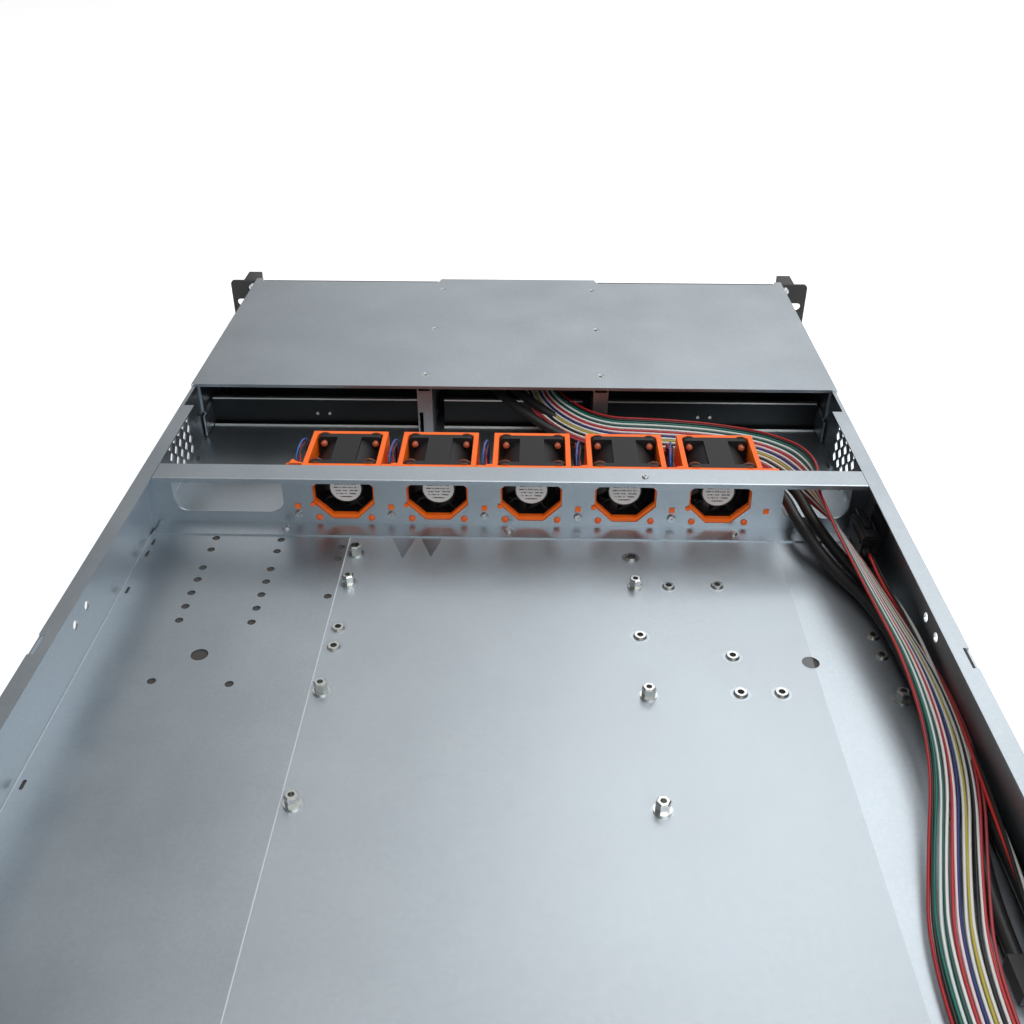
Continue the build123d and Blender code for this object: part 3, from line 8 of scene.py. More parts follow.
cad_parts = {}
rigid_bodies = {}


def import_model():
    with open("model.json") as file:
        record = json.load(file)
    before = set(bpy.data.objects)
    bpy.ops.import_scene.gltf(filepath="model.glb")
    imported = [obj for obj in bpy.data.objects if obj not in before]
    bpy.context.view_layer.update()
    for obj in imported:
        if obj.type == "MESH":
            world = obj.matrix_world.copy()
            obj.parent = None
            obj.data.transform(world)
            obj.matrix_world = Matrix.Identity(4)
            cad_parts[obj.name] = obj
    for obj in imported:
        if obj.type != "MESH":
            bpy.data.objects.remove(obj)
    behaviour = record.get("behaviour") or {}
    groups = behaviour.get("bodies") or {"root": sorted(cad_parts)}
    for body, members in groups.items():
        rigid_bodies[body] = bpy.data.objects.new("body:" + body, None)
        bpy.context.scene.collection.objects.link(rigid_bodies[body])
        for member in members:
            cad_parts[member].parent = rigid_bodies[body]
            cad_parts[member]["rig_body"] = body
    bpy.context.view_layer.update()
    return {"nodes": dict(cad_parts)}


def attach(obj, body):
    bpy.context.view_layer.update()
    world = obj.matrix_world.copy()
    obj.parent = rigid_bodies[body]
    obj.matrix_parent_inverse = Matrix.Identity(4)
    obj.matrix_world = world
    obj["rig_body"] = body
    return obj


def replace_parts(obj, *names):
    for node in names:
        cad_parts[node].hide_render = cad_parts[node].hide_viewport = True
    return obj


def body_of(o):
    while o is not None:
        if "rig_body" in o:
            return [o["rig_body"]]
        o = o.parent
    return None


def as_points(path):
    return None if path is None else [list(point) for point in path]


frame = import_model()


# Case sheets: the folded chassis, its rear panel and cover, the bay dividers, side rails and fan wall.
# Cut and folded electro-galvanised steel, 1 to 1.2 mm thick, left as rolled. It is satin and bluish,
# with a fine grain, soft rolling marks along the case, and blurred reflections of what stands near.
def linear(colour):
    """the linear values of an sRGB hex colour, with a full alpha"""
    parts = [int(colour[place:place + 2], 16) / 255 for place in (1, 3, 5)]
    return [c / 12.92 if c <= 0.04045 else ((c + 0.055) / 1.055) ** 2.4 for c in parts] + [1.0]


def add(tree, kind, sockets=None, **fields):
    """adds a node; a socket takes a value, or the output of another node as a link"""
    made = tree.nodes.new(kind)
    for field, value in fields.items():
        setattr(made, field, value)
    for socket, value in (sockets or {}).items():
        if isinstance(value, bpy.types.NodeSocket):
            tree.links.new(value, made.inputs[socket])
        else:
            made.inputs[socket].default_value = value
    return made


def new_finish(name):
    """an empty procedural material, its tree and the place on the object"""
    made = bpy.data.materials.new(name)
    made.use_nodes = True
    made.node_tree.nodes.clear()
    return made, made.node_tree, add(made.node_tree, "ShaderNodeTexCoord").outputs["Object"]


def finish_node(node, finish):
    """gives a CAD node's object one material"""
    materials = frame["nodes"][node].data.materials
    if not materials:
        materials.append(finish)
    for place in range(len(materials)):
        materials[place] = finish


galvanised_sheet, tree, spot = new_finish("electro_galvanised_sheet")
# crystals about 1.5 mm across, drawn at their real size
crystals = add(tree, "ShaderNodeTexVoronoi", {"Vector": spot, "Scale": 650.0}, feature="F1")
crystal_tone = add(tree, "ShaderNodeSeparateColor", {0: crystals.outputs["Color"]})
# cloudy patches of the zinc, 40 to 80 mm across
clouds = add(tree, "ShaderNodeTexNoise", {"Vector": spot, "Scale": 18.0, "Detail": 3.0}).outputs["Fac"]
# rolling marks run along the case, 0.6 mm apart and 40 mm long
rolled_spot = add(tree, "ShaderNodeMapping", {"Vector": spot, "Scale": (1600.0, 25.0, 1600.0)})
rolling = add(tree, "ShaderNodeTexNoise", {"Vector": rolled_spot.outputs[0], "Scale": 1.0}).outputs["Fac"]
grain = add(tree, "ShaderNodeMath", {0: crystal_tone.outputs[0], 1: rolling},
            operation="MULTIPLY").outputs[0]
grain_and_clouds = add(tree, "ShaderNodeMath", {0: grain, 1: 0.45, 2: clouds},
                       operation="MULTIPLY_ADD").outputs[0]
tone = add(tree, "ShaderNodeMapRange", {0: grain_and_clouds, 1: 0.3, 2: 0.95})
zinc = add(tree, "ShaderNodeMix", {0: tone.outputs[0], 6: linear("#A9B2B9"), 7: linear("#B6BEC4")},
           data_type="RGBA").outputs[2]
satin = add(tree, "ShaderNodeMapRange", {0: clouds, 1: 0.3, 2: 0.7, 3: 0.32, 4: 0.4})
relief = add(tree, "ShaderNodeBump", {"Strength": 0.05, "Distance": 0.0002, "Height": grain}).outputs[0]
shader = add(tree, "ShaderNodeBsdfPrincipled", {
    "Base Color": zinc, "Metallic": 1.0, "Roughness": satin.outputs[0], "Normal": relief})
add(tree, "ShaderNodeOutputMaterial", {"Surface": shader.outputs[0]})

for node in ("chassis", "rear_panel", "front_cover", "bay_divider_left", "bay_divider_right",
             "side_rail_left", "side_rail_right", "fan_wall"):
    finish_node(node, galvanised_sheet)


# Cross members: low folded stops behind the bays, of the same sheet, coloured near-black as painted shade.
# Two thin bright lines along the lip and the foot are painted highlights.
shade_painted_sheet, tree, spot = new_finish("sheet_with_painted_shade_and_highlights")
LIP_BOTTOM, FOOT_TOP, FOOT_EDGE = 0.0198, 0.00215, -0.1534
height = add(tree, "ShaderNodeSeparateXYZ", {0: spot})
on_lip = add(tree, "ShaderNodeMath", {0: height.outputs[2], 1: LIP_BOTTOM},
             operation="GREATER_THAN").outputs[0]
low = add(tree, "ShaderNodeMath", {0: height.outputs[2], 1: FOOT_TOP}, operation="LESS_THAN").outputs[0]
at_edge = add(tree, "ShaderNodeMath", {0: height.outputs[1], 1: FOOT_EDGE},
              operation="GREATER_THAN").outputs[0]
on_foot = add(tree, "ShaderNodeMath", {0: low, 1: at_edge}, operation="MULTIPLY").outputs[0]
painted_highlight_lines = add(tree, "ShaderNodeMath", {0: on_lip, 1: on_foot}, operation="MAXIMUM").outputs[0]
smear = add(tree, "ShaderNodeTexNoise", {"Vector": spot, "Scale": 30.0, "Detail": 3.0}).outputs["Fac"]
# the near-black colour, with a little random tone, is painted shade
coat_and_painted_shade = add(tree, "ShaderNodeMix", {0: smear, 6: linear("#2B2D2E"), 7: linear("#3B3D3E")},
           data_type="RGBA").outputs[2]
# the pale lines on the lip and the foot are painted highlights
surface = add(tree, "ShaderNodeMix", {0: painted_highlight_lines, 6: coat_and_painted_shade, 7: linear("#E4E4DF")},
              data_type="RGBA").outputs[2]
haze = add(tree, "ShaderNodeMapRange", {0: smear, 3: 0.34, 4: 0.46}).outputs[0]
shader = add(tree, "ShaderNodeBsdfPrincipled", {"Base Color": surface, "Metallic": 1.0, "Roughness": haze})
add(tree, "ShaderNodeOutputMaterial", {"Surface": shader.outputs[0]})
for node in ("cross_member_left", "cross_member_centre", "cross_member_right"):
    finish_node(node, shade_painted_sheet)


# Screws: small zinc plated steel screws with a cross recess, in the cover, the fan wall and the handles.
# They have the size of the CAD model's screws, and every recess is turned its own way. Only the small heads
# on the stops and on the wall's top bar stand for no screw of that model.
zinc_screw, tree, spot = new_finish("bright_zinc_plated_screw")
# the bright plating gives sharp glints, uneven over about 1 mm
turned = add(tree, "ShaderNodeTexNoise", {"Vector": spot, "Scale": 900.0}).outputs["Fac"]
plate = add(tree, "ShaderNodeMix", {0: turned, 6: linear("#B9BCBE"), 7: linear("#DADBDA")},
            data_type="RGBA").outputs[2]
polish = add(tree, "ShaderNodeMapRange", {0: turned, 3: 0.16, 4: 0.34}).outputs[0]
shader = add(tree, "ShaderNodeBsdfPrincipled", {"Base Color": plate, "Metallic": 1.0, "Roughness": polish})
add(tree, "ShaderNodeOutputMaterial", {"Surface": shader.outputs[0]})


def new_tree(name, sizes):
    """a Geometry Nodes tree with a geometry in and out, a finish, and one number for each size"""
    made = bpy.data.node_groups.new(name, "GeometryNodeTree")
    made.interface.new_socket("Geometry", in_out="INPUT", socket_type="NodeSocketGeometry")
    for size in sizes:
        made.interface.new_socket(size, in_out="INPUT", socket_type="NodeSocketFloat")
    made.interface.new_socket("Finish", in_out="INPUT", socket_type="NodeSocketMaterial")
    made.interface.new_socket("Geometry", in_out="OUTPUT", socket_type="NodeSocketGeometry")
    return made


def close_tree(tree, source, shape):
    """puts the shape at each point, turned as the point says, as real geometry with its finish"""
    facing = add(tree, "GeometryNodeInputNamedAttribute", {"Name": "facing"}, data_type="FLOAT_VECTOR")
    placed = add(tree, "GeometryNodeInstanceOnPoints", {
        "Points": source.outputs["Geometry"], "Instance": shape, "Rotation": facing.outputs["Attribute"]})
    real = add(tree, "GeometryNodeRealizeInstances", {0: placed.outputs[0]})
    painted = add(tree, "GeometryNodeSetMaterial", {
        0: real.outputs[0], "Material": source.outputs["Finish"]})
    add(tree, "NodeGroupOutput", {0: painted.outputs[0]})


def raised(tree, shape, height):
    """the shape, moved up by a height"""
    up = add(tree, "ShaderNodeCombineXYZ", {2: height})
    return add(tree, "GeometryNodeTransform", {0: shape, "Translation": up.outputs[0]}).outputs[0]


def lay_out(name, tree, places, finish, **sizes):
    """runs a tree on a list of (place in mm, direction, turn) and keeps the result as a plain mesh"""
    points = bpy.data.meshes.new(name + "_points")
    points.from_pydata([Vector(place) / 1000 for place, direction, turn in places], [], [])
    facing = points.attributes.new("facing", "FLOAT_VECTOR", "POINT")
    for entry, (place, direction, turn) in zip(facing.data, places):
        turned_up = Vector(direction).to_track_quat("Z", "Y") @ Quaternion((0, 0, 1), math.radians(turn))
        entry.vector = turned_up.to_euler()
    maker = bpy.data.objects.new(name, points)
    bpy.context.scene.collection.objects.link(maker)
    modifier = maker.modifiers.new("layout", "NODES")
    modifier.node_group = tree
    for item in tree.interface.items_tree:
        if item.in_out == "INPUT" and item.name in sizes:
            modifier[item.identifier] = float(sizes[item.name]) / 1000
        elif item.in_out == "INPUT" and item.name == "Finish":
            modifier[item.identifier] = finish
    ready = maker.evaluated_get(bpy.context.evaluated_depsgraph_get())
    mesh = bpy.data.meshes.new_from_object(ready)
    maker.modifiers.clear()
    maker.data = mesh
    mesh.name = name
    return maker


screw_tree = new_tree("cross_recess_screws", ("seat_radius", "crown_radius", "head_height", "shank_radius",
                                              "shank_length", "recess_span", "recess_width", "recess_depth"))
source = add(screw_tree, "NodeGroupInput")
size = source.outputs
head = add(screw_tree, "GeometryNodeMeshCone", {
    "Vertices": 28, "Radius Top": size["crown_radius"], "Radius Bottom": size["seat_radius"],
    "Depth": size["head_height"]})
shank = add(screw_tree, "GeometryNodeMeshCylinder", {
    "Vertices": 16, "Radius": size["shank_radius"], "Depth": size["shank_length"]})
half_down = add(screw_tree, "ShaderNodeMath", {0: size["shank_length"], 1: -0.5},
                operation="MULTIPLY").outputs[0]
low_shank = raised(screw_tree, shank.outputs[0], half_down)
twice_deep = add(screw_tree, "ShaderNodeMath", {0: size["recess_depth"], 1: 2.0},
                 operation="MULTIPLY").outputs[0]
bar_size = add(screw_tree, "ShaderNodeCombineXYZ", {
    0: size["recess_span"], 1: size["recess_width"], 2: twice_deep})
bar = add(screw_tree, "GeometryNodeMeshCube", {0: bar_size.outputs[0]})
other_bar = add(screw_tree, "GeometryNodeTransform", {
    0: bar.outputs[0], "Rotation": (0.0, 0.0, math.pi / 2)})
carved = head.outputs[0]
for cutter in (bar.outputs[0], other_bar.outputs[0]):
    cutter_up = raised(screw_tree, cutter, size["head_height"])
    cut = add(screw_tree, "GeometryNodeMeshBoolean", {0: carved, 1: cutter_up}, operation="DIFFERENCE",
              solver="EXACT")
    carved = cut.outputs[0]
whole = add(screw_tree, "GeometryNodeJoinGeometry", {0: low_shank})
screw_tree.links.new(carved, whole.inputs[0])
close_tree(screw_tree, source, whole.outputs[0])

UP, BACKWARD = (0, 0, 1), (0, 1, 0)
FRONT_FACE = -334.0
cover_places = [((side * 60.4, FRONT_FACE + row, 41.9), UP, 20 + 17 * row * side)
                for side in (-1, 1) for row in (25.5, 105.0, 184.0)]
cover_screws = lay_out("cover_screw_heads", screw_tree, cover_places, zinc_screw, seat_radius=1.4,
                       crown_radius=2.9, head_height=1.5, shank_radius=1.4, shank_length=3.2,
                       recess_span=3.4, recess_width=0.8, recess_depth=0.9)
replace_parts(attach(cover_screws, "case"), "cover_screws")

foot_places = [((x, -20.25, 2.0), UP, 31 * x) for x in (135.5, -0.3, -136.4)]
face_places = [((x, -27.0, 8.5), BACKWARD, 13 * x) for x in (-99.03, -42.17, 14.69, 71.55, 128.41)]
wall_screws = lay_out("wall_screw_heads", screw_tree, foot_places + face_places, zinc_screw, seat_radius=2.6,
                      crown_radius=1.9, head_height=1.5, shank_radius=1.2, shank_length=0.2, recess_span=2.9,
                      recess_width=0.7, recess_depth=0.8)
stop_places = [((side * x, -157.0, 9.3), BACKWARD, 22 * x) for side in (-1, 1) for x in (131.1, 139.8)]
stop_screws = lay_out("stop_screw_heads", screw_tree, stop_places, zinc_screw, seat_radius=1.5,
                      crown_radius=1.1, head_height=1.0, shank_radius=0.8, shank_length=0.2,
                      recess_span=1.7, recess_width=0.45, recess_depth=0.5)
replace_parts(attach(wall_screws, "case"), "wall_screws")
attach(stop_screws, "case")

dimple_places = [((-80.3, -18.6, 42.65), UP, 24)]
dimple_screw = lay_out("bar_screw_head", screw_tree, dimple_places, zinc_screw, seat_radius=2.0,
                       crown_radius=1.5, head_height=0.8, shank_radius=1.0, shank_length=0.2,
                       recess_span=2.2, recess_width=0.55, recess_depth=0.5)
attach(dimple_screw, "case")

handle_places = [((side * 223.15, -331.5, z), BACKWARD, 9 * z) for side in (-1, 1) for z in (7.85, 35.75)]
handle_screws = lay_out("handle_screw_heads", screw_tree, handle_places, zinc_screw, seat_radius=3.6,
                        crown_radius=2.8, head_height=1.4, shank_radius=1.9, shank_length=8.0,
                        recess_span=4.0, recess_width=0.9, recess_depth=0.8)
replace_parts(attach(handle_screws, "case"), "handle_screws")


# Board standoffs: six-sided nickel plated steel on a round foot, pressed into the floor, threaded M3.
# Their top edge is turned off at an angle, so it catches the light as a bright ring.
nickel, tree, spot = new_finish("bright_nickel_plated_steel")
# turning marks 0.5 mm apart up the flats and in the bore
marks = add(tree, "ShaderNodeTexWave", {"Vector": spot, "Scale": 640.0, "Distortion": 0.6},
            bands_direction="Z")
sheen_change = add(tree, "ShaderNodeTexNoise", {"Vector": spot, "Scale": 500.0}).outputs["Fac"]
polish = add(tree, "ShaderNodeMapRange", {0: sheen_change, 3: 0.12, 4: 0.28}).outputs[0]
relief = add(tree, "ShaderNodeBump", {
    "Strength": 0.15, "Distance": 0.0001, "Height": marks.outputs["Fac"]}).outputs[0]
shader = add(tree, "ShaderNodeBsdfPrincipled", {
    "Base Color": linear("#C9CBC8"), "Metallic": 1.0, "Roughness": polish, "Normal": relief})
add(tree, "ShaderNodeOutputMaterial", {"Surface": shader.outputs[0]})

BORE_PLACE = (0.0, 0.0, 0.0042)
standoff_tree = new_tree("hex_standoffs", (
    "corner_radius", "height", "chamfer", "foot_radius", "foot_height", "bore"))
source = add(standoff_tree, "NodeGroupInput")
size = source.outputs
straight = add(standoff_tree, "ShaderNodeMath", {0: size["height"], 1: size["chamfer"]},
               operation="SUBTRACT").outputs[0]
body = add(standoff_tree, "GeometryNodeMeshCylinder", {
    "Vertices": 6, "Radius": size["corner_radius"], "Depth": straight})
crown = add(standoff_tree, "ShaderNodeMath", {0: size["corner_radius"], 1: size["chamfer"]},
            operation="SUBTRACT").outputs[0]
top = add(standoff_tree, "GeometryNodeMeshCone", {
    "Vertices": 6, "Radius Top": crown, "Radius Bottom": size["corner_radius"], "Depth": size["chamfer"]})
foot = add(standoff_tree, "GeometryNodeMeshCylinder", {
    "Vertices": 32, "Radius": size["foot_radius"], "Depth": size["foot_height"]})
half_straight = add(standoff_tree, "ShaderNodeMath", {0: straight, 1: 0.5}, operation="MULTIPLY").outputs[0]
half_foot = add(standoff_tree, "ShaderNodeMath", {0: size["foot_height"], 1: 0.5},
                operation="MULTIPLY").outputs[0]
stood_body = raised(standoff_tree, body.outputs[0], half_straight)
union = add(standoff_tree, "GeometryNodeMeshBoolean", {1: stood_body}, operation="UNION", solver="EXACT")
for shape, height in ((top, straight), (foot, half_foot)):
    standoff_tree.links.new(raised(standoff_tree, shape.outputs[0], height), union.inputs[1])
drill = add(standoff_tree, "GeometryNodeMeshCylinder", {
    "Vertices": 20, "Radius": size["bore"], "Depth": size["height"]})
bored = add(standoff_tree, "GeometryNodeTransform", {0: drill.outputs[0], "Translation": BORE_PLACE})
drilled = add(standoff_tree, "GeometryNodeMeshBoolean", {0: union.outputs[0], 1: bored.outputs[0]},
              operation="DIFFERENCE", solver="EXACT")
close_tree(standoff_tree, source, drilled.outputs[0])

standoff_places = [((x, y, 1.0), UP, 10 * x + y) for x, y in (
    (89.6, 4.0), (89.6, 33.0), (89.6, 122.0), (89.6, 194.4), (89.6, 349.34), (-72.96, 33.0), (-72.96, 122.0),
    (-72.96, 194.4), (-72.96, 349.34), (-197.42, 122.0), (-197.42, 194.4), (-197.42, 349.34))]
standoffs = lay_out("hex_standoffs", standoff_tree, standoff_places, nickel, corner_radius=3.46, height=6.3,
                    chamfer=0.6, foot_radius=4.2, foot_height=1.0, bore=1.5)
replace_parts(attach(standoffs, "case"), "board_standoffs")


# Clinch nuts: low threaded rings of the same plated steel, pressed into the floor for other boards.
# Their outer edge is turned off at an angle, and the floor has a hole under each.
ring_tree = new_tree("clinch_rings", ("seat_radius", "crown_radius", "height", "bore"))
source = add(ring_tree, "NodeGroupInput")
size = source.outputs
ring = add(ring_tree, "GeometryNodeMeshCone", {
    "Vertices": 28, "Radius Top": size["crown_radius"], "Radius Bottom": size["seat_radius"],
    "Depth": size["height"]})
right_through = add(ring_tree, "ShaderNodeMath", {0: size["height"], 1: 4.0},
                    operation="MULTIPLY").outputs[0]
drill = add(ring_tree, "GeometryNodeMeshCylinder", {
    "Vertices": 20, "Radius": size["bore"], "Depth": right_through})
drilled = add(ring_tree, "GeometryNodeMeshBoolean", {0: ring.outputs[0], 1: drill.outputs[0]},
              operation="DIFFERENCE", solver="EXACT")
close_tree(ring_tree, source, drilled.outputs[0])

nut_places = [((x, y, 1.0), UP, 0) for x, y in (
    (89.0, 73.0), (88.8, 88.6), (-72.6, 5.0), (-92.0, 32.4), (-119.5, 31.2), (-72.5, 76.4), (-119.1, 91.6),
    (-118.9, 119.4), (-139.3, 118.8), (-196.2, 73.4), (-196.6, 89.3))]
nuts = lay_out("clinch_rings", ring_tree, nut_places, nickel, seat_radius=3.7, crown_radius=2.9, height=1.4,
               bore=1.75)
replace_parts(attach(nuts, "case"), "clinch_nuts")


# Ears, handles and control panel: black parts of the front.
# Ears and panel are steel with a powder coat; the handles are moulded and a little greyer.
powder_coat, tree, spot = new_finish("black_powder_coat")
# an even half-matt black, with an orange peel of 0.8 mm from crest to crest
peel = add(tree, "ShaderNodeTexNoise", {"Vector": spot, "Scale": 1250.0}).outputs["Fac"]
relief = add(tree, "ShaderNodeBump", {"Strength": 0.25, "Distance": 0.0002, "Height": peel}).outputs[0]
dust = add(tree, "ShaderNodeTexNoise", {"Vector": spot, "Scale": 40.0, "Detail": 4.0}).outputs["Fac"]
coat_and_painted_shade = add(tree, "ShaderNodeMix", {0: dust, 6: linear("#161615"), 7: linear("#232322")},
           data_type="RGBA").outputs[2]
shader = add(tree, "ShaderNodeBsdfPrincipled", {
    "Base Color": coat_and_painted_shade, "Roughness": 0.5, "IOR": 1.5, "Normal": relief})
add(tree, "ShaderNodeOutputMaterial", {"Surface": shader.outputs[0]})

black_abs, tree, spot = new_finish("moulded_black_abs")
# a satin surface with a spark-eroded mould texture of 0.5 mm
spark = add(tree, "ShaderNodeTexNoise", {"Vector": spot, "Scale": 2000.0, "Detail": 1.0}).outputs["Fac"]
relief = add(tree, "ShaderNodeBump", {"Strength": 0.2, "Distance": 0.00015, "Height": spark}).outputs[0]
flow = add(tree, "ShaderNodeTexNoise", {"Vector": spot, "Scale": 60.0}).outputs["Fac"]
resin = add(tree, "ShaderNodeMix", {0: flow, 6: linear("#222223"), 7: linear("#303032")},
            data_type="RGBA").outputs[2]
gloss = add(tree, "ShaderNodeMapRange", {0: flow, 3: 0.38, 4: 0.52}).outputs[0]
shader = add(tree, "ShaderNodeBsdfPrincipled", {
    "Base Color": resin, "Roughness": gloss, "IOR": 1.54, "Normal": relief})
add(tree, "ShaderNodeOutputMaterial", {"Surface": shader.outputs[0]})


def soften(node, name, finish, width, segments=2):
    """stands for a CAD node with a copy whose edges are rounded, as a mould leaves them"""
    mesh = frame["nodes"][node].data.copy()
    work = bmesh.new()
    work.from_mesh(mesh)
    bmesh.ops.remove_doubles(work, verts=work.verts, dist=2e-6)
    bmesh.ops.dissolve_limit(work, angle_limit=math.radians(3), verts=work.verts, edges=work.edges)
    work.to_mesh(mesh)
    work.free()
    mesh.materials.clear()
    mesh.materials.append(finish)
    piece = bpy.data.objects.new(name, mesh)
    bpy.context.scene.collection.objects.link(piece)
    rounding = piece.modifiers.new("rounding", "BEVEL")
    rounding.width = width / 1000
    rounding.segments = segments
    rounding.limit_method = "ANGLE"
    rounding.angle_limit = math.radians(35)
    ready = piece.evaluated_get(bpy.context.evaluated_depsgraph_get())
    rounded = bpy.data.meshes.new_from_object(ready)
    piece.modifiers.clear()
    piece.data = rounded
    rounded.name = name
    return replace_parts(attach(piece, body_of(frame["nodes"][node])[0]), node)


for node in ("ear_left", "ear_right", "control_panel"):
    finish_node(node, powder_coat)
for side in ("left", "right"):
    soften("handle_" + side, "handle_bow_" + side, black_abs, 1.2, 3)
    soften("bay_blank_" + side, "bay_front_" + side, black_abs, 0.4)
finish_node("power_button", black_abs)
finish_node("reset_button", black_abs)


# Status lights: clear acrylic light pipes pressed into the panel.
# Their ends are lightly frosted, so they look milky.
clear_acrylic, tree, spot = new_finish("clear_acrylic_light_pipe")
haze = add(tree, "ShaderNodeTexNoise", {"Vector": spot, "Scale": 700.0}).outputs["Fac"]
frosted = add(tree, "ShaderNodeMapRange", {0: haze, 3: 0.1, 4: 0.3}).outputs[0]
shader = add(tree, "ShaderNodeBsdfPrincipled", {
    "Base Color": linear("#D5DDE0"), "Roughness": frosted, "IOR": 1.49, "Transmission Weight": 0.6})
add(tree, "ShaderNodeOutputMaterial", {"Surface": shader.outputs[0]})
finish_node("status_lights", clear_acrylic)


# Control board: green lacquered board on the panel's bosses, with black sockets and switches.
# The lacquer shows only within the board's own 1.6 mm; what stands off it is black nylon.
board_finish, tree, spot = new_finish("green_solder_mask_and_black_nylon")
BOARD_BEHIND, HALF_BOARD = 0.3222, 0.00081
along = add(tree, "ShaderNodeSeparateXYZ", {0: spot})
from_middle = add(tree, "ShaderNodeMath", {0: along.outputs[1], 1: BOARD_BEHIND},
                  operation="ADD").outputs[0]
off_middle = add(tree, "ShaderNodeMath", {0: from_middle}, operation="ABSOLUTE").outputs[0]
on_board = add(tree, "ShaderNodeMath", {0: off_middle, 1: HALF_BOARD}, operation="LESS_THAN").outputs[0]
# the lacquer is glossy, and the tracks under it show as a paler green
tracks = add(tree, "ShaderNodeTexVoronoi", {"Vector": spot, "Scale": 300.0}, distance="MANHATTAN")
mask = add(tree, "ShaderNodeMix", {
    0: tracks.outputs["Distance"], 6: linear("#0B3A22"), 7: linear("#15583A")}, data_type="RGBA").outputs[2]
both = add(tree, "ShaderNodeMix", {0: on_board, 6: linear("#1B1B1C"), 7: mask}, data_type="RGBA").outputs[2]
shader = add(tree, "ShaderNodeBsdfPrincipled", {"Base Color": both, "Roughness": 0.35, "IOR": 1.5})
add(tree, "ShaderNodeOutputMaterial", {"Surface": shader.outputs[0]})
finish_node("control_board", board_finish)


# Fan holders: orange moulded trays, one for each fan, hooked through the fan wall.
# A soft satin plastic of one strong colour, a little paler where light goes through thin walls.
orange_resin, tree, spot = new_finish("moulded_orange_polypropylene")
flow = add(tree, "ShaderNodeTexNoise", {"Vector": spot, "Scale": 90.0, "Detail": 3.0}).outputs["Fac"]
resin = add(tree, "ShaderNodeMix", {0: flow, 6: linear("#FF5F00"), 7: linear("#FF7602")},
            data_type="RGBA").outputs[2]
spark = add(tree, "ShaderNodeTexNoise", {"Vector": spot, "Scale": 2200.0}).outputs["Fac"]
relief = add(tree, "ShaderNodeBump", {"Strength": 0.12, "Distance": 0.00015, "Height": spark}).outputs[0]
gloss = add(tree, "ShaderNodeMapRange", {0: flow, 3: 0.44, 4: 0.56}).outputs[0]
shader = add(tree, "ShaderNodeBsdfPrincipled", {
    "Base Color": resin, "Roughness": gloss, "IOR": 1.5, "Normal": relief,
    "Subsurface Weight": 0.04, "Subsurface Radius": (0.002, 0.0008, 0.0003), "Subsurface Scale": 1.0})
add(tree, "ShaderNodeOutputMaterial", {"Surface": shader.outputs[0]})
for number in range(1, 6):
    soften("fan_holder_%d" % number, "fan_tray_%d" % number, orange_resin, 0.35)


# Holder gussets: small forms of the same orange moulding. There is a round nub at a lower corner of each
# ring, on the wall, a small block beside each holder but the last, and a pointed gusset at the row's end.
def new_piece(name, work, finish):
    """an object of its own in the scene, from a finished bmesh"""
    mesh = bpy.data.meshes.new(name)
    work.to_mesh(mesh)
    work.free()
    mesh.materials.append(finish)
    made = bpy.data.objects.new(name, mesh)
    bpy.context.scene.collection.objects.link(made)
    return made


FAN_CENTRES = (-127.46, -70.6, -13.74, 43.12, 99.98)
FAN_FRONT, FAN_REAR, WALL_FACE, FLANGE = -67.7, -31.3, -27.0, 4.0
HOLDER_HALF, HOLDER_REAR = 23.5, -28.4
NUB_ASIDE, NUB_HEIGHT, NUB_RADIUS, NUB_SIDES = 19.0, 15.6, 1.5, 20
BLOCK_LOW, BLOCK_HEIGHT, GUSSET_LOW, GUSSET_HEIGHT = 36.0, 6.2, 34.0, 8.0
small_forms = []
for centre in FAN_CENTRES:
    nub = [(centre + NUB_ASIDE + NUB_RADIUS * math.cos(step * math.tau / NUB_SIDES), WALL_FACE,
            NUB_HEIGHT + NUB_RADIUS * math.sin(step * math.tau / NUB_SIDES)) for step in range(NUB_SIDES)]
    small_forms.append((nub, Vector((0, 1.0, 0))))
    block = [(centre + HOLDER_HALF, -32.6), (centre + 27.5, -32.0), (centre + 27.9, HOLDER_REAR),
             (centre + HOLDER_HALF, HOLDER_REAR)]
    if centre != FAN_CENTRES[-1]:
        small_forms.append(([(x, y, BLOCK_LOW) for x, y in block], Vector((0, 0, BLOCK_HEIGHT))))
gusset = [(123.5, -32.0), (127.0, -33.2), (130.6, -36.6), (133.0, HOLDER_REAR), (123.5, HOLDER_REAR)]
small_forms.append(([(x, y, GUSSET_LOW) for x, y in gusset], Vector((0, 0, GUSSET_HEIGHT))))
work = bmesh.new()
for outline, depth in small_forms:
    rear_ring = [work.verts.new(Vector(point) / 1000) for point in outline]
    face_ring = [work.verts.new((Vector(point) + depth) / 1000) for point in outline]
    faces = [work.faces.new(rear_ring), work.faces.new(face_ring[::-1])]
    for place in range(len(outline)):
        after = (place + 1) % len(outline)
        faces.append(work.faces.new((rear_ring[place], face_ring[place], face_ring[after], rear_ring[after])))
bmesh.ops.recalc_face_normals(work, faces=work.faces)
SHARP_FROM, SMALL_ROUNDING = 0.6, 0.0003
sharp = [edge for edge in work.edges if edge.calc_face_angle(0) > SHARP_FROM]
bmesh.ops.bevel(work, geom=sharp, offset=SMALL_ROUNDING, segments=2, affect="EDGES")
gussets = new_piece("holder_gussets", work, orange_resin)
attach(gussets, "case")


# Fans: square frames and seven-bladed rotors, moulded of black glass-filled polyester. Soft pins at the
# corners hold each one. The resin is satin and a little streaky, where its fibres reach the surface.
fan_resin, tree, spot = new_finish("black_glass_filled_polyester")
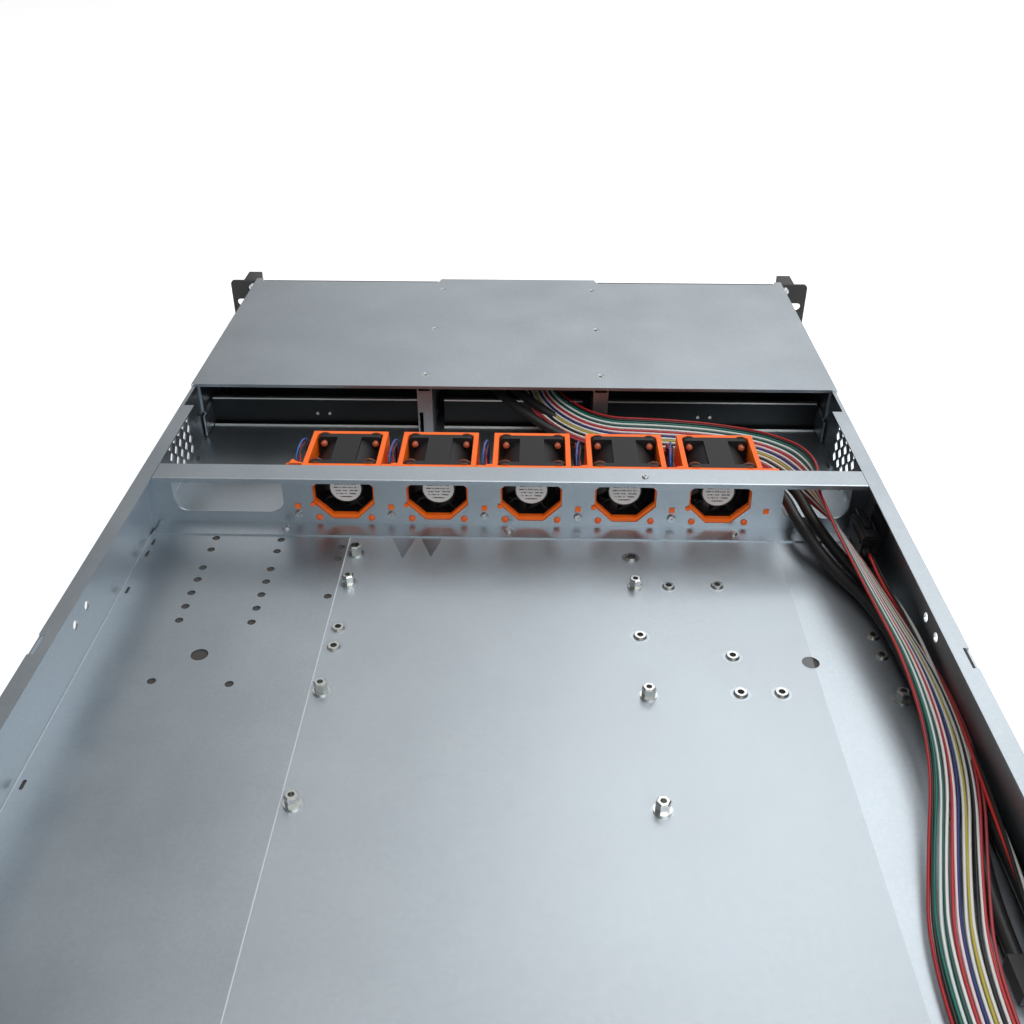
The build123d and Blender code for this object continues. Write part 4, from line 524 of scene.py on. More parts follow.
# glass fibres show as short streaks, about 0.4 by 3 mm
fibre_spot = add(tree, "ShaderNodeMapping", {"Vector": spot, "Scale": (2500.0, 330.0, 2500.0)})
fibres = add(tree, "ShaderNodeTexNoise", {
    "Vector": fibre_spot.outputs[0], "Scale": 1.0, "Detail": 1.0}).outputs["Fac"]
resin = add(tree, "ShaderNodeMix", {0: fibres, 6: linear("#141416"), 7: linear("#202023")},
            data_type="RGBA").outputs[2]
gloss = add(tree, "ShaderNodeMapRange", {0: fibres, 3: 0.46, 4: 0.62}).outputs[0]
relief = add(tree, "ShaderNodeBump", {"Strength": 0.1, "Distance": 0.0001, "Height": fibres}).outputs[0]
shader = add(tree, "ShaderNodeBsdfPrincipled", {
    "Base Color": resin, "Roughness": gloss, "IOR": 1.5, "Specular IOR Level": 0.35, "Normal": relief})
add(tree, "ShaderNodeOutputMaterial", {"Surface": shader.outputs[0]})
for number in range(1, 6):
    finish_node("fan_frame_%d" % number, fan_resin)
    finish_node("fan_rotor_%d" % number, fan_resin)


# Fan labels: round labels of pale printed film, stuck on the motor hubs. They are smooth and a little
# shiny, with a dark rim and a few plain printed bars.
label_film, tree, _ = new_finish("printed_silver_film_label")
# places on the label are shares of its radius
RIM_FROM, BARS_WITHIN, BAR_ROWS, BAR_SHARE, INK_FROM = 0.93, 0.72, 4.6, 0.34, 0.47
print_spot = add(tree, "ShaderNodeUVMap", uv_map="print").outputs[0]
split = add(tree, "ShaderNodeSeparateXYZ", {0: print_spot})
out = add(tree, "ShaderNodeVectorMath", {0: print_spot}, operation="LENGTH")
rim = add(tree, "ShaderNodeMath", {0: out.outputs["Value"], 1: RIM_FROM},
          operation="GREATER_THAN").outputs[0]
rows = add(tree, "ShaderNodeMath", {0: split.outputs[1], 1: BAR_ROWS}, operation="MULTIPLY").outputs[0]
row_part = add(tree, "ShaderNodeMath", {0: rows}, operation="FRACT").outputs[0]
in_row = add(tree, "ShaderNodeMath", {0: row_part, 1: BAR_SHARE}, operation="LESS_THAN").outputs[0]
broken = add(tree, "ShaderNodeTexNoise", {"Vector": print_spot, "Scale": 9.0}, noise_dimensions="2D")
inked = add(tree, "ShaderNodeMath", {0: broken.outputs["Fac"], 1: INK_FROM},
            operation="GREATER_THAN").outputs[0]
bars = add(tree, "ShaderNodeMath", {0: in_row, 1: inked}, operation="MULTIPLY").outputs[0]
middle = add(tree, "ShaderNodeMath", {0: out.outputs["Value"], 1: BARS_WITHIN},
             operation="LESS_THAN").outputs[0]
bars_inside = add(tree, "ShaderNodeMath", {0: bars, 1: middle}, operation="MULTIPLY").outputs[0]
ink = add(tree, "ShaderNodeMath", {0: rim, 1: bars_inside}, operation="MAXIMUM").outputs[0]
printed = add(tree, "ShaderNodeMix", {0: ink, 6: linear("#F4F4F1"), 7: linear("#343435")},
              data_type="RGBA").outputs[2]
shader = add(tree, "ShaderNodeBsdfPrincipled", {"Base Color": printed, "Roughness": 0.35, "IOR": 1.5})
add(tree, "ShaderNodeOutputMaterial", {"Surface": shader.outputs[0]})

LABEL_RADIUS, LABEL_STEPS, LABEL_ROUNDING, FAN_Z = 10.2, 48, 0.15, 22
LABEL_BACK, LABEL_EDGE, LABEL_FACE = -35.7, -35.56, -35.5
for number, centre in enumerate(FAN_CENTRES, 1):
    work = bmesh.new()
    print_map = work.loops.layers.uv.new("print")
    rings = []
    for radius, y in ((LABEL_RADIUS, LABEL_BACK), (LABEL_RADIUS, LABEL_EDGE),
                      (LABEL_RADIUS - LABEL_ROUNDING, LABEL_FACE)):
        angles = [step * math.tau / LABEL_STEPS for step in range(LABEL_STEPS)]
        rings.append([work.verts.new(((centre + radius * math.cos(angle)) / 1000, y / 1000,
                                      (FAN_Z + radius * math.sin(angle)) / 1000)) for angle in angles])
    for low, high in zip(rings, rings[1:]):
        for step in range(LABEL_STEPS):
            after = (step + 1) % LABEL_STEPS
            work.faces.new((low[after], low[step], high[step], high[after]))
    work.faces.new(rings[0])
    work.faces.new(rings[-1][::-1])
    for face in work.faces:
        for corner in face.loops:
            corner[print_map].uv = ((centre / 1000 - corner.vert.co.x) * 1000 / LABEL_RADIUS,
                                    (corner.vert.co.z - FAN_Z / 1000) * 1000 / LABEL_RADIUS)
    bmesh.ops.recalc_face_normals(work, faces=work.faces)
    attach(new_piece("fan_label_%d" % number, work, label_film), "case")


# Fan pins: soft silicone pins, pulled through the corners of each fan so that it hangs without a rattle.
# They end in round bulbs, behind the fan's front flange and behind the wall, with thin wide collars by the
# frame. The rubber is smooth and lets a little light in.
silicone, tree, spot = new_finish("orange_silicone_rubber")
cloud = add(tree, "ShaderNodeTexNoise", {"Vector": spot, "Scale": 300.0}).outputs["Fac"]
rubber = add(tree, "ShaderNodeMix", {0: cloud, 6: linear("#E0571F"), 7: linear("#F4702F")},
             data_type="RGBA").outputs[2]
shader = add(tree, "ShaderNodeBsdfPrincipled", {
    "Base Color": rubber, "Roughness": 0.42, "IOR": 1.42, "Subsurface Weight": 0.1,
    "Subsurface Radius": (0.003, 0.001, 0.0005), "Subsurface Scale": 1.0})
add(tree, "ShaderNodeOutputMaterial", {"Surface": shader.outputs[0]})

# the collars are so thin that the black frame shows through them as amber
thin_silicone, tree, spot = new_finish("thin_translucent_silicone")
cloud = add(tree, "ShaderNodeTexNoise", {"Vector": spot, "Scale": 400.0}).outputs["Fac"]
amber = add(tree, "ShaderNodeMix", {0: cloud, 6: linear("#5A3226"), 7: linear("#8A5442")},
            data_type="RGBA").outputs[2]
shader = add(tree, "ShaderNodeBsdfPrincipled", {
    "Base Color": amber, "Roughness": 0.3, "IOR": 1.42, "Alpha": 0.8})
add(tree, "ShaderNodeOutputMaterial", {"Surface": shader.outputs[0]})

# the front ends are the same silicone, coloured a deeper red as painted shade, as they stand in the fans'
# shade
shade_painted_silicone, tree, spot = new_finish("silicone_with_painted_shade")
cloud = add(tree, "ShaderNodeTexNoise", {"Vector": spot, "Scale": 500.0}).outputs["Fac"]
# these darker reds are painted shade
copper = add(tree, "ShaderNodeMix", {0: cloud, 6: linear("#9C4630"), 7: linear("#C9704E")},
             data_type="RGBA").outputs[2]
shader = add(tree, "ShaderNodeBsdfPrincipled", {
    "Base Color": copper, "Roughness": 0.25, "IOR": 1.42, "Subsurface Weight": 0.1,
    "Subsurface Radius": (0.003, 0.001, 0.0006), "Subsurface Scale": 1.0})
add(tree, "ShaderNodeOutputMaterial", {"Surface": shader.outputs[0]})

pin_tree = new_tree("bulb_ended_pins", ("shaft_radius", "shaft_length", "bulb_radius", "bulb_height"))
source = add(pin_tree, "NodeGroupInput")
size = source.outputs
shaft = add(pin_tree, "GeometryNodeMeshCylinder", {
    "Vertices": 16, "Radius": size["shaft_radius"], "Depth": size["shaft_length"]})
half_shaft = add(pin_tree, "ShaderNodeMath", {0: size["shaft_length"], 1: 0.5},
                 operation="MULTIPLY").outputs[0]
stood_shaft = raised(pin_tree, shaft.outputs[0], half_shaft)
bulb = add(pin_tree, "GeometryNodeMeshUVSphere", {"Segments": 20, "Rings": 12, "Radius": 1.0})
bulb_size = add(pin_tree, "ShaderNodeCombineXYZ", {
    0: size["bulb_radius"], 1: size["bulb_radius"], 2: size["bulb_height"]})
flat_bulb = add(pin_tree, "GeometryNodeTransform", {0: bulb.outputs[0], "Scale": bulb_size.outputs[0]})
stood_bulb = raised(pin_tree, flat_bulb.outputs[0], size["shaft_length"])
round_bulb = add(pin_tree, "GeometryNodeSetShadeSmooth", {0: stood_bulb})
pin = add(pin_tree, "GeometryNodeJoinGeometry", {0: stood_shaft})
pin_tree.links.new(round_bulb.outputs[0], pin.inputs[0])
close_tree(pin_tree, source, pin.outputs[0])

PIN_OFF = 16
pin_rows = [(centre + x, FAN_Z + z) for centre in FAN_CENTRES for x in (-PIN_OFF, PIN_OFF)
            for z in (-PIN_OFF, PIN_OFF)]


def pin_places(*levels):
    """one place at each fan corner and level, facing backward"""
    return [((x, y, z), BACKWARD, 0) for x, z in pin_rows for y in levels]


front_pins = lay_out("fan_pin_fronts", pin_tree, pin_places(FAN_FRONT), shade_painted_silicone, shaft_radius=1.7,
                     shaft_length=FLANGE + 1.9, bulb_radius=2.1, bulb_height=1.6)
rear_pins = lay_out("fan_pin_heads", pin_tree, pin_places(FAN_REAR - FLANGE - 0.4), silicone,
                    shaft_radius=1.6, shaft_length=WALL_FACE - FAN_REAR + FLANGE + 0.7, bulb_radius=2.1,
                    bulb_height=0.9)
collars = lay_out("fan_pin_collars", ring_tree, pin_places(FAN_FRONT - 0.29, FAN_REAR + 0.01), thin_silicone,
                  seat_radius=5.0, crown_radius=4.9, height=0.27, bore=1.6)
inner_collars = lay_out("fan_pin_inner_collars", ring_tree, pin_places(FAN_REAR - FLANGE - 0.8),
                        thin_silicone, seat_radius=5.0, crown_radius=4.7, height=0.8, bore=1.6)
for piece in (front_pins, rear_pins, collars, inner_collars):
    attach(piece, "case")
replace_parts(front_pins, "fan_pins")


# Black cables: two round bundles from the control board, over the floor behind the stops, through the
# fan wall and back along the side wall. Each is many thin wires in a soft black jacket.
jacket, tree, spot = new_finish("black_pvc_jacket")
# the wires inside show through the jacket as soft ridges, about 2.5 mm apart
ridges = add(tree, "ShaderNodeTexNoise", {"Vector": spot, "Scale": 380.0}).outputs["Fac"]
relief = add(tree, "ShaderNodeBump", {"Strength": 0.3, "Distance": 0.0003, "Height": ridges}).outputs[0]
tint = add(tree, "ShaderNodeMix", {0: ridges, 6: linear("#141414"), 7: linear("#222223")},
           data_type="RGBA").outputs[2]
shader = add(tree, "ShaderNodeBsdfPrincipled", {
    "Base Color": tint, "Roughness": 0.42, "IOR": 1.53, "Normal": relief})
add(tree, "ShaderNodeOutputMaterial", {"Surface": shader.outputs[0]})


def route_curve(name, points, thickness=0.0):
    """a smooth curve with the route's points, across, behind the front face and up, in mm"""
    curve = bpy.data.curves.new(name, "CURVE")
    curve.dimensions = "3D"
    spline = curve.splines.new("NURBS")
    spline.points.add(len(points) - 1)
    for control, (x, behind, z) in zip(spline.points, points):
        control.co = (x / 1000, (FRONT_FACE + behind) / 1000, z / 1000, 1.0)
    spline.order_u = 3
    spline.use_endpoint_u = True
    spline.resolution_u = 10
    curve.bevel_depth = thickness / 2000
    curve.bevel_resolution = 5
    curve.use_fill_caps = thickness > 0
    made = bpy.data.objects.new(name, curve)
    bpy.context.scene.collection.objects.link(made)
    return made


def points_on(points):
    """points of the route's smooth curve, close together and in order"""
    guide = route_curve("guide", points)
    ready = guide.evaluated_get(bpy.context.evaluated_depsgraph_get())
    line = bpy.data.meshes.new_from_object(ready)
    found = [corner.co.copy() for corner in line.vertices]
    bpy.data.objects.remove(guide)
    bpy.data.meshes.remove(line)
    return found


def length_of(line):
    return sum((after - before).length for before, after in zip(line, line[1:]))


cable_1_route = (
    (34.0, 21.6, 20.0), (34.0, 66.0, 20.0), (31.0, 115.0, 23.5), (20.0, 159.0, 27.5), (-2.0, 195.0, 25.0),
    (-38.0, 218.0, 12.0), (-84.0, 227.0, 6.0), (-128.0, 236.0, 6.5), (-158.0, 256.0, 11.0),
    (-170.0, 287.0, 14.8), (-173.0, 319.0, 13.6), (-186.0, 355.0, 6.5), (-202.0, 389.0, 4.6),
    (-206.0, 437.0, 4.8), (-206.1, 490.0, 4.6), (-205.6, 535.0, 4.7), (-198.5, 573.0, 4.6),
    (-198.5, 600.0, 4.6))
cable_2_route = (
    (24.0, 21.6, 20.0), (24.0, 64.0, 20.0), (21.0, 113.0, 23.5), (10.0, 154.0, 27.5), (-12.0, 187.0, 25.5),
    (-46.0, 209.0, 13.0), (-88.0, 218.0, 6.0), (-132.0, 227.0, 6.5), (-165.0, 247.0, 11.0),
    (-179.0, 281.0, 14.8), (-182.0, 317.0, 13.8), (-195.0, 350.0, 6.5), (-209.0, 383.0, 4.6),
    (-213.2, 432.0, 4.8), (-213.2, 485.0, 4.6), (-212.8, 535.0, 4.6), (-212.4, 585.0, 4.7),
    (-211.2, 628.0, 4.6), (-211.2, 660.0, 4.6))
for number, route in ((1, cable_1_route), (2, cable_2_route)):
    cable = route_curve("black_cable_%d" % number, route, 6.6)
    cable.data.materials.append(jacket)
    plug = soften("cable_plug_%d" % number, "cable_socket_%d" % number, black_abs, 0.5)
    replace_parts(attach(cable, "case"), "cable_%d" % number)
    length_of(points_on(route))


# Wires: thin copper wires in coloured PVC. One finish serves them all, and each wire keeps its own
# colour in the mesh. The PVC is smooth and a little shiny.
wire_pvc, tree, spot = new_finish("coloured_pvc_wire")
own_colour = add(tree, "ShaderNodeAttribute", attribute_name="wire_colour")
smear = add(tree, "ShaderNodeTexNoise", {"Vector": spot, "Scale": 250.0}).outputs["Fac"]
gloss = add(tree, "ShaderNodeMapRange", {0: smear, 3: 0.28, 4: 0.42}).outputs[0]
shader = add(tree, "ShaderNodeBsdfPrincipled", {
    "Base Color": own_colour.outputs["Color"], "Roughness": gloss, "IOR": 1.53})
add(tree, "ShaderNodeOutputMaterial", {"Surface": shader.outputs[0]})


def way_at(line, place):
    """the direction of a line at one of its points"""
    return (line[min(place + 1, len(line) - 1)] - line[max(place - 1, 0)]).normalized()


def frames(line):
    """each point of a line with the two directions square to it, which don't turn along the way"""
    across = None
    for place, point in enumerate(line):
        ahead = way_at(line, place)
        across = ahead.orthogonal() if across is None else across - ahead * across.dot(ahead)
        across.normalize()
        yield point, across, ahead.cross(across)


def wires(name, lines, colours, radius, sides=8):
    """one mesh of round wires, each along its own line and in its own colour"""
    work = bmesh.new()
    paint = work.verts.layers.float_color.new("wire_colour")
    for line, colour in zip(lines, colours):
        rings = []
        for point, across, up in frames(line):
            ring = []
            for step in range(sides):
                angle = step * math.tau / sides
                out = math.cos(angle) * across + math.sin(angle) * up
                corner = work.verts.new(point + radius / 1000 * out)
                corner[paint] = linear(colour)
                ring.append(corner)
            rings.append(ring)
        for low, high in zip(rings, rings[1:]):
            for step in range(sides):
                after = (step + 1) % sides
                work.faces.new((low[step], low[after], high[after], high[step]))
        work.faces.new(rings[0][::-1])
        work.faces.new(rings[-1])
    for face in work.faces:
        face.smooth = len(face.verts) == 4
    return new_piece(name, work, wire_pvc)


def twisted(line, count, off, lay):
    """lines of wires twisted round a centre line, one turn each lay, sizes in mm"""
    result = [[] for wire in range(count)]
    before = line[0]
    run = 0.0
    for point, across, up in frames(line):
        run += (point - before).length
        before = point
        for wire in range(count):
            angle = math.tau * (wire / count + run * 1000 / lay)
            result[wire].append(point + off / 1000 * (math.cos(angle) * across + math.sin(angle) * up))
    return result


# Fan leads: three thin wires loop out of each fan beside its holder, up and over to a small white plug.
# The plugs are moulded of milky nylon, dull and slightly yellow.
fan_lead_route = ((28.4, 298.0, 11.0), (28.4, 300.0, 26.0), (28.6, 293.0, 41.6), (28.2, 269.0, 41.6),
                  (28.4, 263.0, 26.0), (27.8, 271.0, 13.0), (24.6, 277.0, 9.0))
LEAD_COLOURS = ("#B3202A", "#23569C", "#1A1A1A")
for number, centre in enumerate(FAN_CENTRES, 1):
    route = [(centre + x, behind, z) for x, behind, z in fan_lead_route]
    line = points_on(route)
    lead = wires("fan_wires_%d" % number, twisted(line, 3, 1.2, 60), LEAD_COLOURS, 0.65, 7)
    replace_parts(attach(lead, "case"), "fan_lead_%d" % number)
    length_of(line)
    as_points(line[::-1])

white_nylon, tree, spot = new_finish("natural_white_nylon")
cloud = add(tree, "ShaderNodeTexNoise", {"Vector": spot, "Scale": 400.0}).outputs["Fac"]
nylon = add(tree, "ShaderNodeMix", {0: cloud, 6: linear("#CFCBBF"), 7: linear("#DEDBD2")},
            data_type="RGBA").outputs[2]
shader = add(tree, "ShaderNodeBsdfPrincipled", {"Base Color": nylon, "Roughness": 0.4, "IOR": 1.53})
add(tree, "ShaderNodeOutputMaterial", {"Surface": shader.outputs[0]})
soften("fan_plugs", "fan_lead_plugs", white_nylon, 0.4)


# Power lead: a red, a white and a black wire leave the connector at the wall and run to the rear,
# loosely twisted, into a black plug.
lead_route = ((-206.5, 353.0, 15.0), (-206.5, 377.0, 15.0), (-211.5, 410.0, 14.2), (-213.5, 455.0, 13.5),
              (-213.2, 505.0, 13.0), (-210.8, 557.0, 12.0), (-206.0, 606.0, 10.4), (-202.5, 640.0, 3.8),
              (-202.5, 665.0, 3.8))
line = points_on(lead_route)
power_wires = wires("power_wires", twisted(line, 3, 0.95, 160), ("#C22A22", "#E3E0DA", "#1A1A1A"), 0.82)
lead_socket = soften("lead_plug", "lead_socket", black_abs, 0.4)
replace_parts(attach(power_wires, "case"), "power_lead")
length_of(line)


# Wall connector: a black nylon housing beside the wall, with a narrow latch end and boots for its wires,
# and a second narrow plug over it. It is smooth and darker than the other plastics, with soft edges.
dark_nylon, tree, spot = new_finish("moulded_black_nylon")
flow = add(tree, "ShaderNodeTexNoise", {"Vector": spot, "Scale": 120.0}).outputs["Fac"]
resin = add(tree, "ShaderNodeMix", {0: flow, 6: linear("#0F1012"), 7: linear("#191A1D")},
            data_type="RGBA").outputs[2]
gloss = add(tree, "ShaderNodeMapRange", {0: flow, 3: 0.3, 4: 0.42}).outputs[0]
shader = add(tree, "ShaderNodeBsdfPrincipled", {"Base Color": resin, "Roughness": gloss, "IOR": 1.53})
add(tree, "ShaderNodeOutputMaterial", {"Surface": shader.outputs[0]})
housing_blocks = [
    # left, right, front, rear, bottom, top
    (-216.7, -212.4, -9.0, 11.0, 22.0, 32.0), (-211.5, -203.0, -12.0, 13.0, 1.0, 23.0),
    (-210.8, -204.2, -19.0, -12.0, 3.5, 19.0),
    (-209.4, -205.4, -16.5, 4.0, 23.0, 24.6), (-203.0, -202.3, -9.0, 9.0, 6.0, 8.0),
    (-203.0, -202.3, -9.0, 9.0, 16.0, 18.0)]
BOOT = 1.7
housing_blocks += [(x - BOOT, x + BOOT, 13.0, 19.0, z - BOOT, z + BOOT)
                   for x in (-209.2, -205.2) for z in (8.0, 15.0)]
work = bmesh.new()
for left, right, front, rear, bottom, top in housing_blocks:
    middle = Vector((left + right, front + rear, bottom + top)) / 2000
    size = Vector((right - left, rear - front, top - bottom)) / 1000
    block = bmesh.ops.create_cube(work, size=1.0)["verts"]
    bmesh.ops.scale(work, vec=size, verts=block)
    bmesh.ops.translate(work, vec=middle, verts=block)
    block_edges = list({edge for corner in block for edge in corner.link_edges})
    bmesh.ops.bevel(work, geom=block_edges, offset=min(size) * 0.14, segments=2, affect="EDGES")
connector = new_piece("wall_connector", work, dark_nylon)
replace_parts(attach(connector, "case"), "lead_connector")


# Ribbon cable: sixteen coloured wires side by side. It leaves the control board flat, lies over the
# stops, passes the fan wall on edge with a half twist, and lies flat on the floor at the rear.
ribbon_route = (
    (-8.0, 21.6, 20.0), (-8.0, 62.0, 20.0), (-10.0, 112.0, 25.0), (-15.0, 155.0, 27.5), (-25.0, 192.0, 23.5),
    (-56.0, 221.0, 20.0), (-98.0, 224.5, 20.8), (-140.0, 232.0, 21.5), (-170.0, 252.0, 25.0),
    (-184.5, 283.0, 25.0), (-188.5, 317.0, 23.4), (-194.0, 355.0, 21.0), (-200.0, 405.0, 19.5),
    (-205.5, 457.0, 19.0), (-203.0, 512.0, 15.0), (-188.0, 562.0, 8.5), (-178.0, 600.0, 4.3),
    (-178.0, 632.0, 4.3))
ribbon_tilts = (0, 0, 5, 12, 28, 32, 32, 28, 32, 70, 117, 132, 142, 150, 162, 172, 180, 180)
RIBBON_COLOURS = ("#9C171B", "#191918", "#0D5E50", "#C9D2D0", "#15493F", "#D9D8D6", "#A92B30", "#DCC9CB",
                  "#1F2C66", "#D4D5D2", "#AC9D3E", "#D9D8D2", "#1B1B20", "#DAD9D6", "#B4383C", "#A9444A")
RIBBON_PITCH, RIBBON_WIRE = 1.57, 0.72
ribbon_line = points_on(ribbon_route)
ribbon_wires = [[] for colour in RIBBON_COLOURS]
for place, point in enumerate(ribbon_line):
    ahead = way_at(ribbon_line, place)
    level = ahead.cross(Vector((0, 0, 1))).normalized()
    share = place / (len(ribbon_line) - 1) * (len(ribbon_tilts) - 1)
    low = min(int(share), len(ribbon_tilts) - 2)
    tilt = ribbon_tilts[low] + (ribbon_tilts[low + 1] - ribbon_tilts[low]) * (share - low)
    width_way = Quaternion(ahead, math.radians(tilt)) @ level
    over = width_way.cross(ahead).normalized()
    for wire in range(len(RIBBON_COLOURS)):
        off = (wire - (len(RIBBON_COLOURS) - 1) / 2) * RIBBON_PITCH
        loose = max(0.0, min(1.0, share - 13)) * max(0.0, min(1.0, 17 - share))
        stray = loose * 0.5 * math.sin(2.1 * wire + 0.55 * share * (1 + wire % 3))
        ribbon_wires[wire].append(point + width_way * (off + stray) / 1000 + over * (0.3 * stray) / 1000)
ribbon = wires("ribbon_wires", ribbon_wires, RIBBON_COLOURS, RIBBON_WIRE, 6)
ribbon_socket = soften("ribbon_plug", "ribbon_socket", black_abs, 0.5)
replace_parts(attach(ribbon, "case"), "ribbon_cable")
length_of(ribbon_line)


# Floor film: clear polyester film, stuck to the floor under the board's place, holed round each standoff.
# It is faintly milky, so the floor under it looks a little paler.
film, tree, spot = new_finish("clear_polyester_film")
own_haze = add(tree, "ShaderNodeAttribute", attribute_name="haze")
smear = add(tree, "ShaderNodeTexNoise", {"Vector": spot, "Scale": 9.0}).outputs["Fac"]
polish = add(tree, "ShaderNodeMapRange", {0: smear, 3: 0.1, 4: 0.22}).outputs[0]
shader = add(tree, "ShaderNodeBsdfPrincipled", {
    "Base Color": linear("#D6DDE2"), "Roughness": polish, "IOR": 1.57, "Alpha": own_haze.outputs["Fac"]})
add(tree, "ShaderNodeOutputMaterial", {"Surface": shader.outputs[0]})

FILM_LEFT, FILM_RIGHT, FILM_FRONT, FILM_REAR = -160.0, 95.6, -13.0, 334.0
FILM_UNDER, FILM_TOP, FILM_HOLE, FILM_HAZE, HOLE_STEPS = 1.04, 1.25, 5.2, 0.1, 24
# the edge strip's opacity makes a painted highlight
EDGE_WIDTH, EDGE_HEIGHT, EDGE_HIGHLIGHT_OPACITY = 0.5, 0.3, 0.75


def film_sheet(work, outlines, thickness, haze):
    """a thin closed sheet between its outlines; the first is its rim and the others are holes"""
    old_faces = set(work.faces)
    edges = []
    for outline in outlines:
        corners = [work.verts.new((x / 1000, y / 1000, FILM_UNDER / 1000)) for x, y in outline]
        edges += [work.edges.new((corners[place - 1], corners[place])) for place in range(len(corners))]
    bmesh.ops.triangle_fill(work, edges=edges, use_beauty=True, normal=(0, 0, 1))
    sheet = [face for face in work.faces if face not in old_faces]
    grown = bmesh.ops.extrude_face_region(work, geom=sheet)
    lifted = [part for part in grown["geom"] if isinstance(part, bmesh.types.BMVert)]
    bmesh.ops.translate(work, verts=lifted, vec=(0, 0, thickness / 1000))
    for face in work.faces:
        if face not in old_faces:
            for corner in face.verts:
                corner[hazes] = haze


work = bmesh.new()
hazes = work.verts.layers.float.new("haze")
# two notches are cut in its front edge, by the wall's foot
rim = [(FILM_LEFT, FILM_FRONT), (39.5, FILM_FRONT), (45.0, 7.0), (52.6, FILM_FRONT), (55.5, FILM_FRONT),
       (61.5, 9.0), (70.1, FILM_FRONT), (FILM_RIGHT, FILM_FRONT), (FILM_RIGHT, FILM_REAR),
       (FILM_LEFT, FILM_REAR)]
holes = [[(x + FILM_HOLE * math.cos(step * math.tau / HOLE_STEPS),
           y + FILM_HOLE * math.sin(step * math.tau / HOLE_STEPS)) for step in range(HOLE_STEPS)]
         for (x, y, z), direction, turn in standoff_places + nut_places if FILM_LEFT < x < FILM_RIGHT]
film_sheet(work, [rim] + holes, FILM_TOP - FILM_UNDER, FILM_HAZE)
# its cut edge at +X, on the photo's left, is a paler, more opaque strip: a painted highlight
film_sheet(work, [[(FILM_RIGHT - EDGE_WIDTH, FILM_FRONT), (FILM_RIGHT, FILM_FRONT), (FILM_RIGHT, FILM_REAR),
                   (FILM_RIGHT - EDGE_WIDTH, FILM_REAR)]], EDGE_HEIGHT, EDGE_HIGHLIGHT_OPACITY)
bmesh.ops.recalc_face_normals(work, faces=work.faces)
floor_sheet = new_piece("clear_floor_film", work, film)
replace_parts(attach(floor_sheet, "case"), "floor_film")


# Studio: a pale table, a white surround that metal also mirrors, and two soft lamps overhead.
# The table is a smooth laminate, white to the eye, and takes the case's shadow.
table_finish_with_painted_shadow, tree, spot = new_finish("white_table_with_painted_shadow")
eye = add(tree, "ShaderNodeLightPath")
mirrored = add(tree, "ShaderNodeMath", {0: eye.outputs["Is Camera Ray"], 1: eye.outputs["Is Glossy Ray"]},
               operation="MAXIMUM").outputs[0]
# under the case the table is coloured dark and has no glow, as a painted shadow, which shows through the
# floor holes
off_centre = add(tree, "ShaderNodeVectorMath", {0: spot}, operation="ABSOLUTE")
aside = add(tree, "ShaderNodeSeparateXYZ", {0: off_centre.outputs[0]})
HALF_WIDTH, HALF_DEPTH = 0.2165, 0.334
beside = add(tree, "ShaderNodeMath", {0: aside.outputs[0], 1: HALF_WIDTH},
             operation="GREATER_THAN").outputs[0]
beyond = add(tree, "ShaderNodeMath", {0: aside.outputs[1], 1: HALF_DEPTH},
             operation="GREATER_THAN").outputs[0]
clear = add(tree, "ShaderNodeMath", {0: beside, 1: beyond}, operation="MAXIMUM").outputs[0]
glow = add(tree, "ShaderNodeMath", {0: mirrored, 1: clear}, operation="MULTIPLY").outputs[0]
lift = add(tree, "ShaderNodeMath", {0: glow, 1: 0.45}, operation="MULTIPLY").outputs[0]
# the dark base colour inside the case's footprint is a painted shadow
laminate = add(tree, "ShaderNodeMix", {0: clear, 6: linear("#3E3B39"), 7: linear("#F2F2F2")},
               data_type="RGBA").outputs[2]
shader = add(tree, "ShaderNodeBsdfPrincipled", {
    "Base Color": laminate, "Roughness": 0.7, "Emission Color": linear("#FFFFFF"),
    "Emission Strength": lift})
add(tree, "ShaderNodeOutputMaterial", {"Surface": shader.outputs[0]})
table_mesh = bpy.data.meshes.new("table")
table_mesh.from_pydata([(-9, -14, 0), (9, -14, 0), (9, 4, 0), (-9, 4, 0)], [], [(0, 1, 2, 3)])
table_mesh.materials.append(table_finish_with_painted_shadow)
table = bpy.data.objects.new("table", table_mesh)
bpy.context.scene.collection.objects.link(table)

world = bpy.data.worlds.new("studio")
world.use_nodes = True
tree = world.node_tree
tree.nodes.clear()
eye = add(tree, "ShaderNodeLightPath")
seen = add(tree, "ShaderNodeMath", {0: eye.outputs["Is Camera Ray"], 1: eye.outputs["Is Transmission Ray"]},
           operation="MAXIMUM").outputs[0]
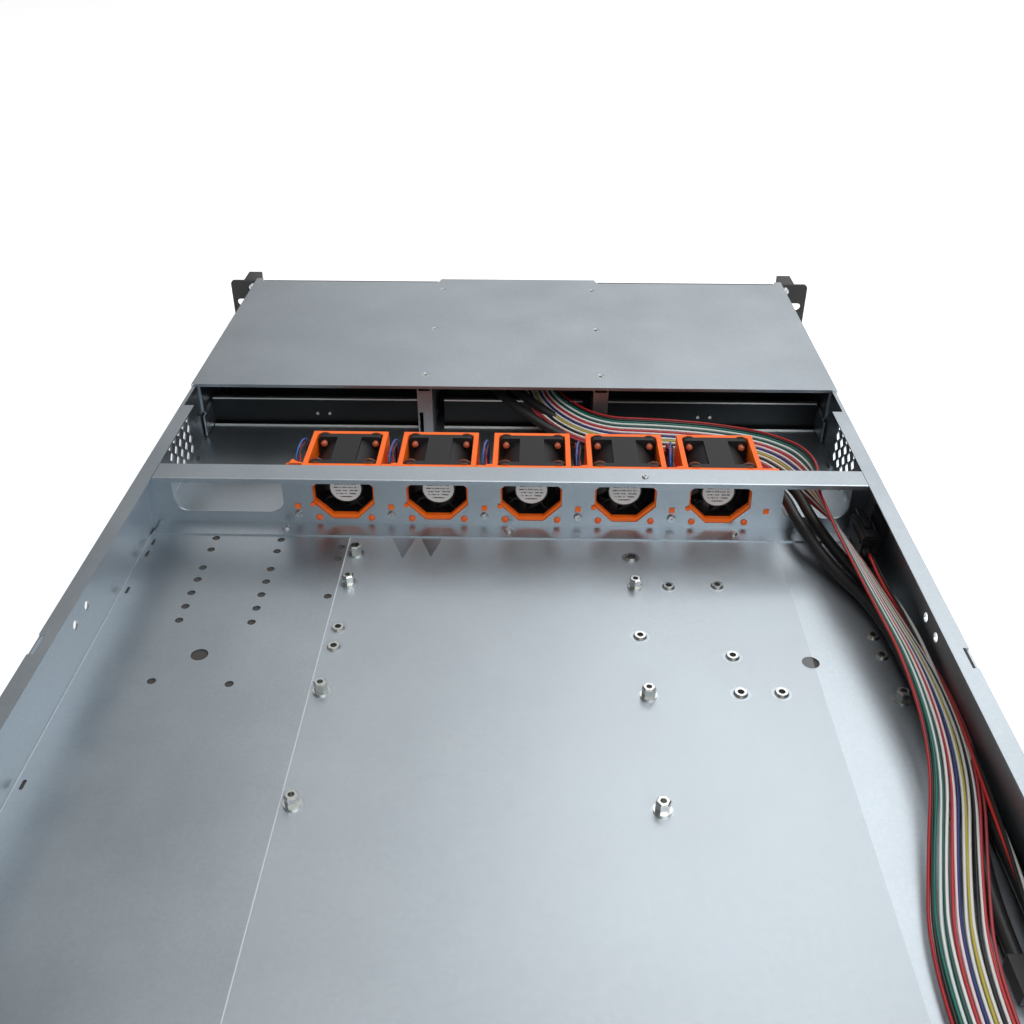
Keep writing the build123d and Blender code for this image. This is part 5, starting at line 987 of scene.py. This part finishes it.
# what metal mirrors of the room: white in front and above, and dimmer to the left and behind the camera
way = add(tree, "ShaderNodeSeparateXYZ", {0: add(tree, "ShaderNodeTexCoord").outputs["Generated"]})
leftward = add(tree, "ShaderNodeMapRange", {0: way.outputs[0], 1: 0.05, 2: 0.5, 3: 1.0, 4: 0.25},
               interpolation_type="SMOOTHSTEP")
rearward = add(tree, "ShaderNodeMapRange", {0: way.outputs[1], 1: -0.1, 2: 0.6, 3: 1.0, 4: 0.8},
               interpolation_type="SMOOTHSTEP")
upward = add(tree, "ShaderNodeMapRange", {0: way.outputs[2], 1: 0.3, 2: 0.75, 3: 0.66, 4: 1.0})
room = add(tree, "ShaderNodeMath", {0: leftward.outputs[0], 1: rearward.outputs[0]},
           operation="MULTIPLY").outputs[0]
room_up = add(tree, "ShaderNodeMath", {0: room, 1: upward.outputs[0]}, operation="MULTIPLY").outputs[0]
unseen = add(tree, "ShaderNodeMix", {0: eye.outputs["Is Glossy Ray"], 2: 0.55, 3: room_up})
level = add(tree, "ShaderNodeMix", {0: seen, 2: unseen.outputs[0], 3: 1.0})
sky = add(tree, "ShaderNodeBackground", {"Color": linear("#FFFFFF"), "Strength": level.outputs[0]})
add(tree, "ShaderNodeOutputWorld", {"Surface": sky.outputs[0]})
bpy.context.scene.world = world

for name, place, aim, size, power in (
    ("overhead", (-0.5, 0.8, 1.4), (0.0, 0.0, 0.0), 1.2, 15.0),
    ("front_fill", (-0.6, -1.2, 1.6), (0.0, 0.0, 0.0), 1.2, 6.0),
):
    lamp = bpy.data.lights.new(name, "AREA")
    lamp.shape = "SQUARE"
    lamp.size = size
    lamp.energy = power
    holder = bpy.data.objects.new(name, lamp)
    holder.location = place
    holder.rotation_euler = (Vector(aim) - Vector(place)).to_track_quat("-Z", "Y").to_euler()
    bpy.context.scene.collection.objects.link(holder)

# the camera is fitted to the photo by the rack's width and the straight edges of the case
camera_data = bpy.data.cameras.new("camera")
camera_data.sensor_width = 36.0
camera_data.lens = 37.05
camera = bpy.data.objects.new("camera", camera_data)
camera.location = (-0.014133, 0.510447, 0.362499)
camera.rotation_euler = Vector((0.01876, -0.8371, -0.5468)).to_track_quat("-Z", "Y").to_euler()
bpy.context.scene.collection.objects.link(camera)
bpy.context.scene.camera = camera
bpy.context.scene.view_settings.view_transform = "Standard"
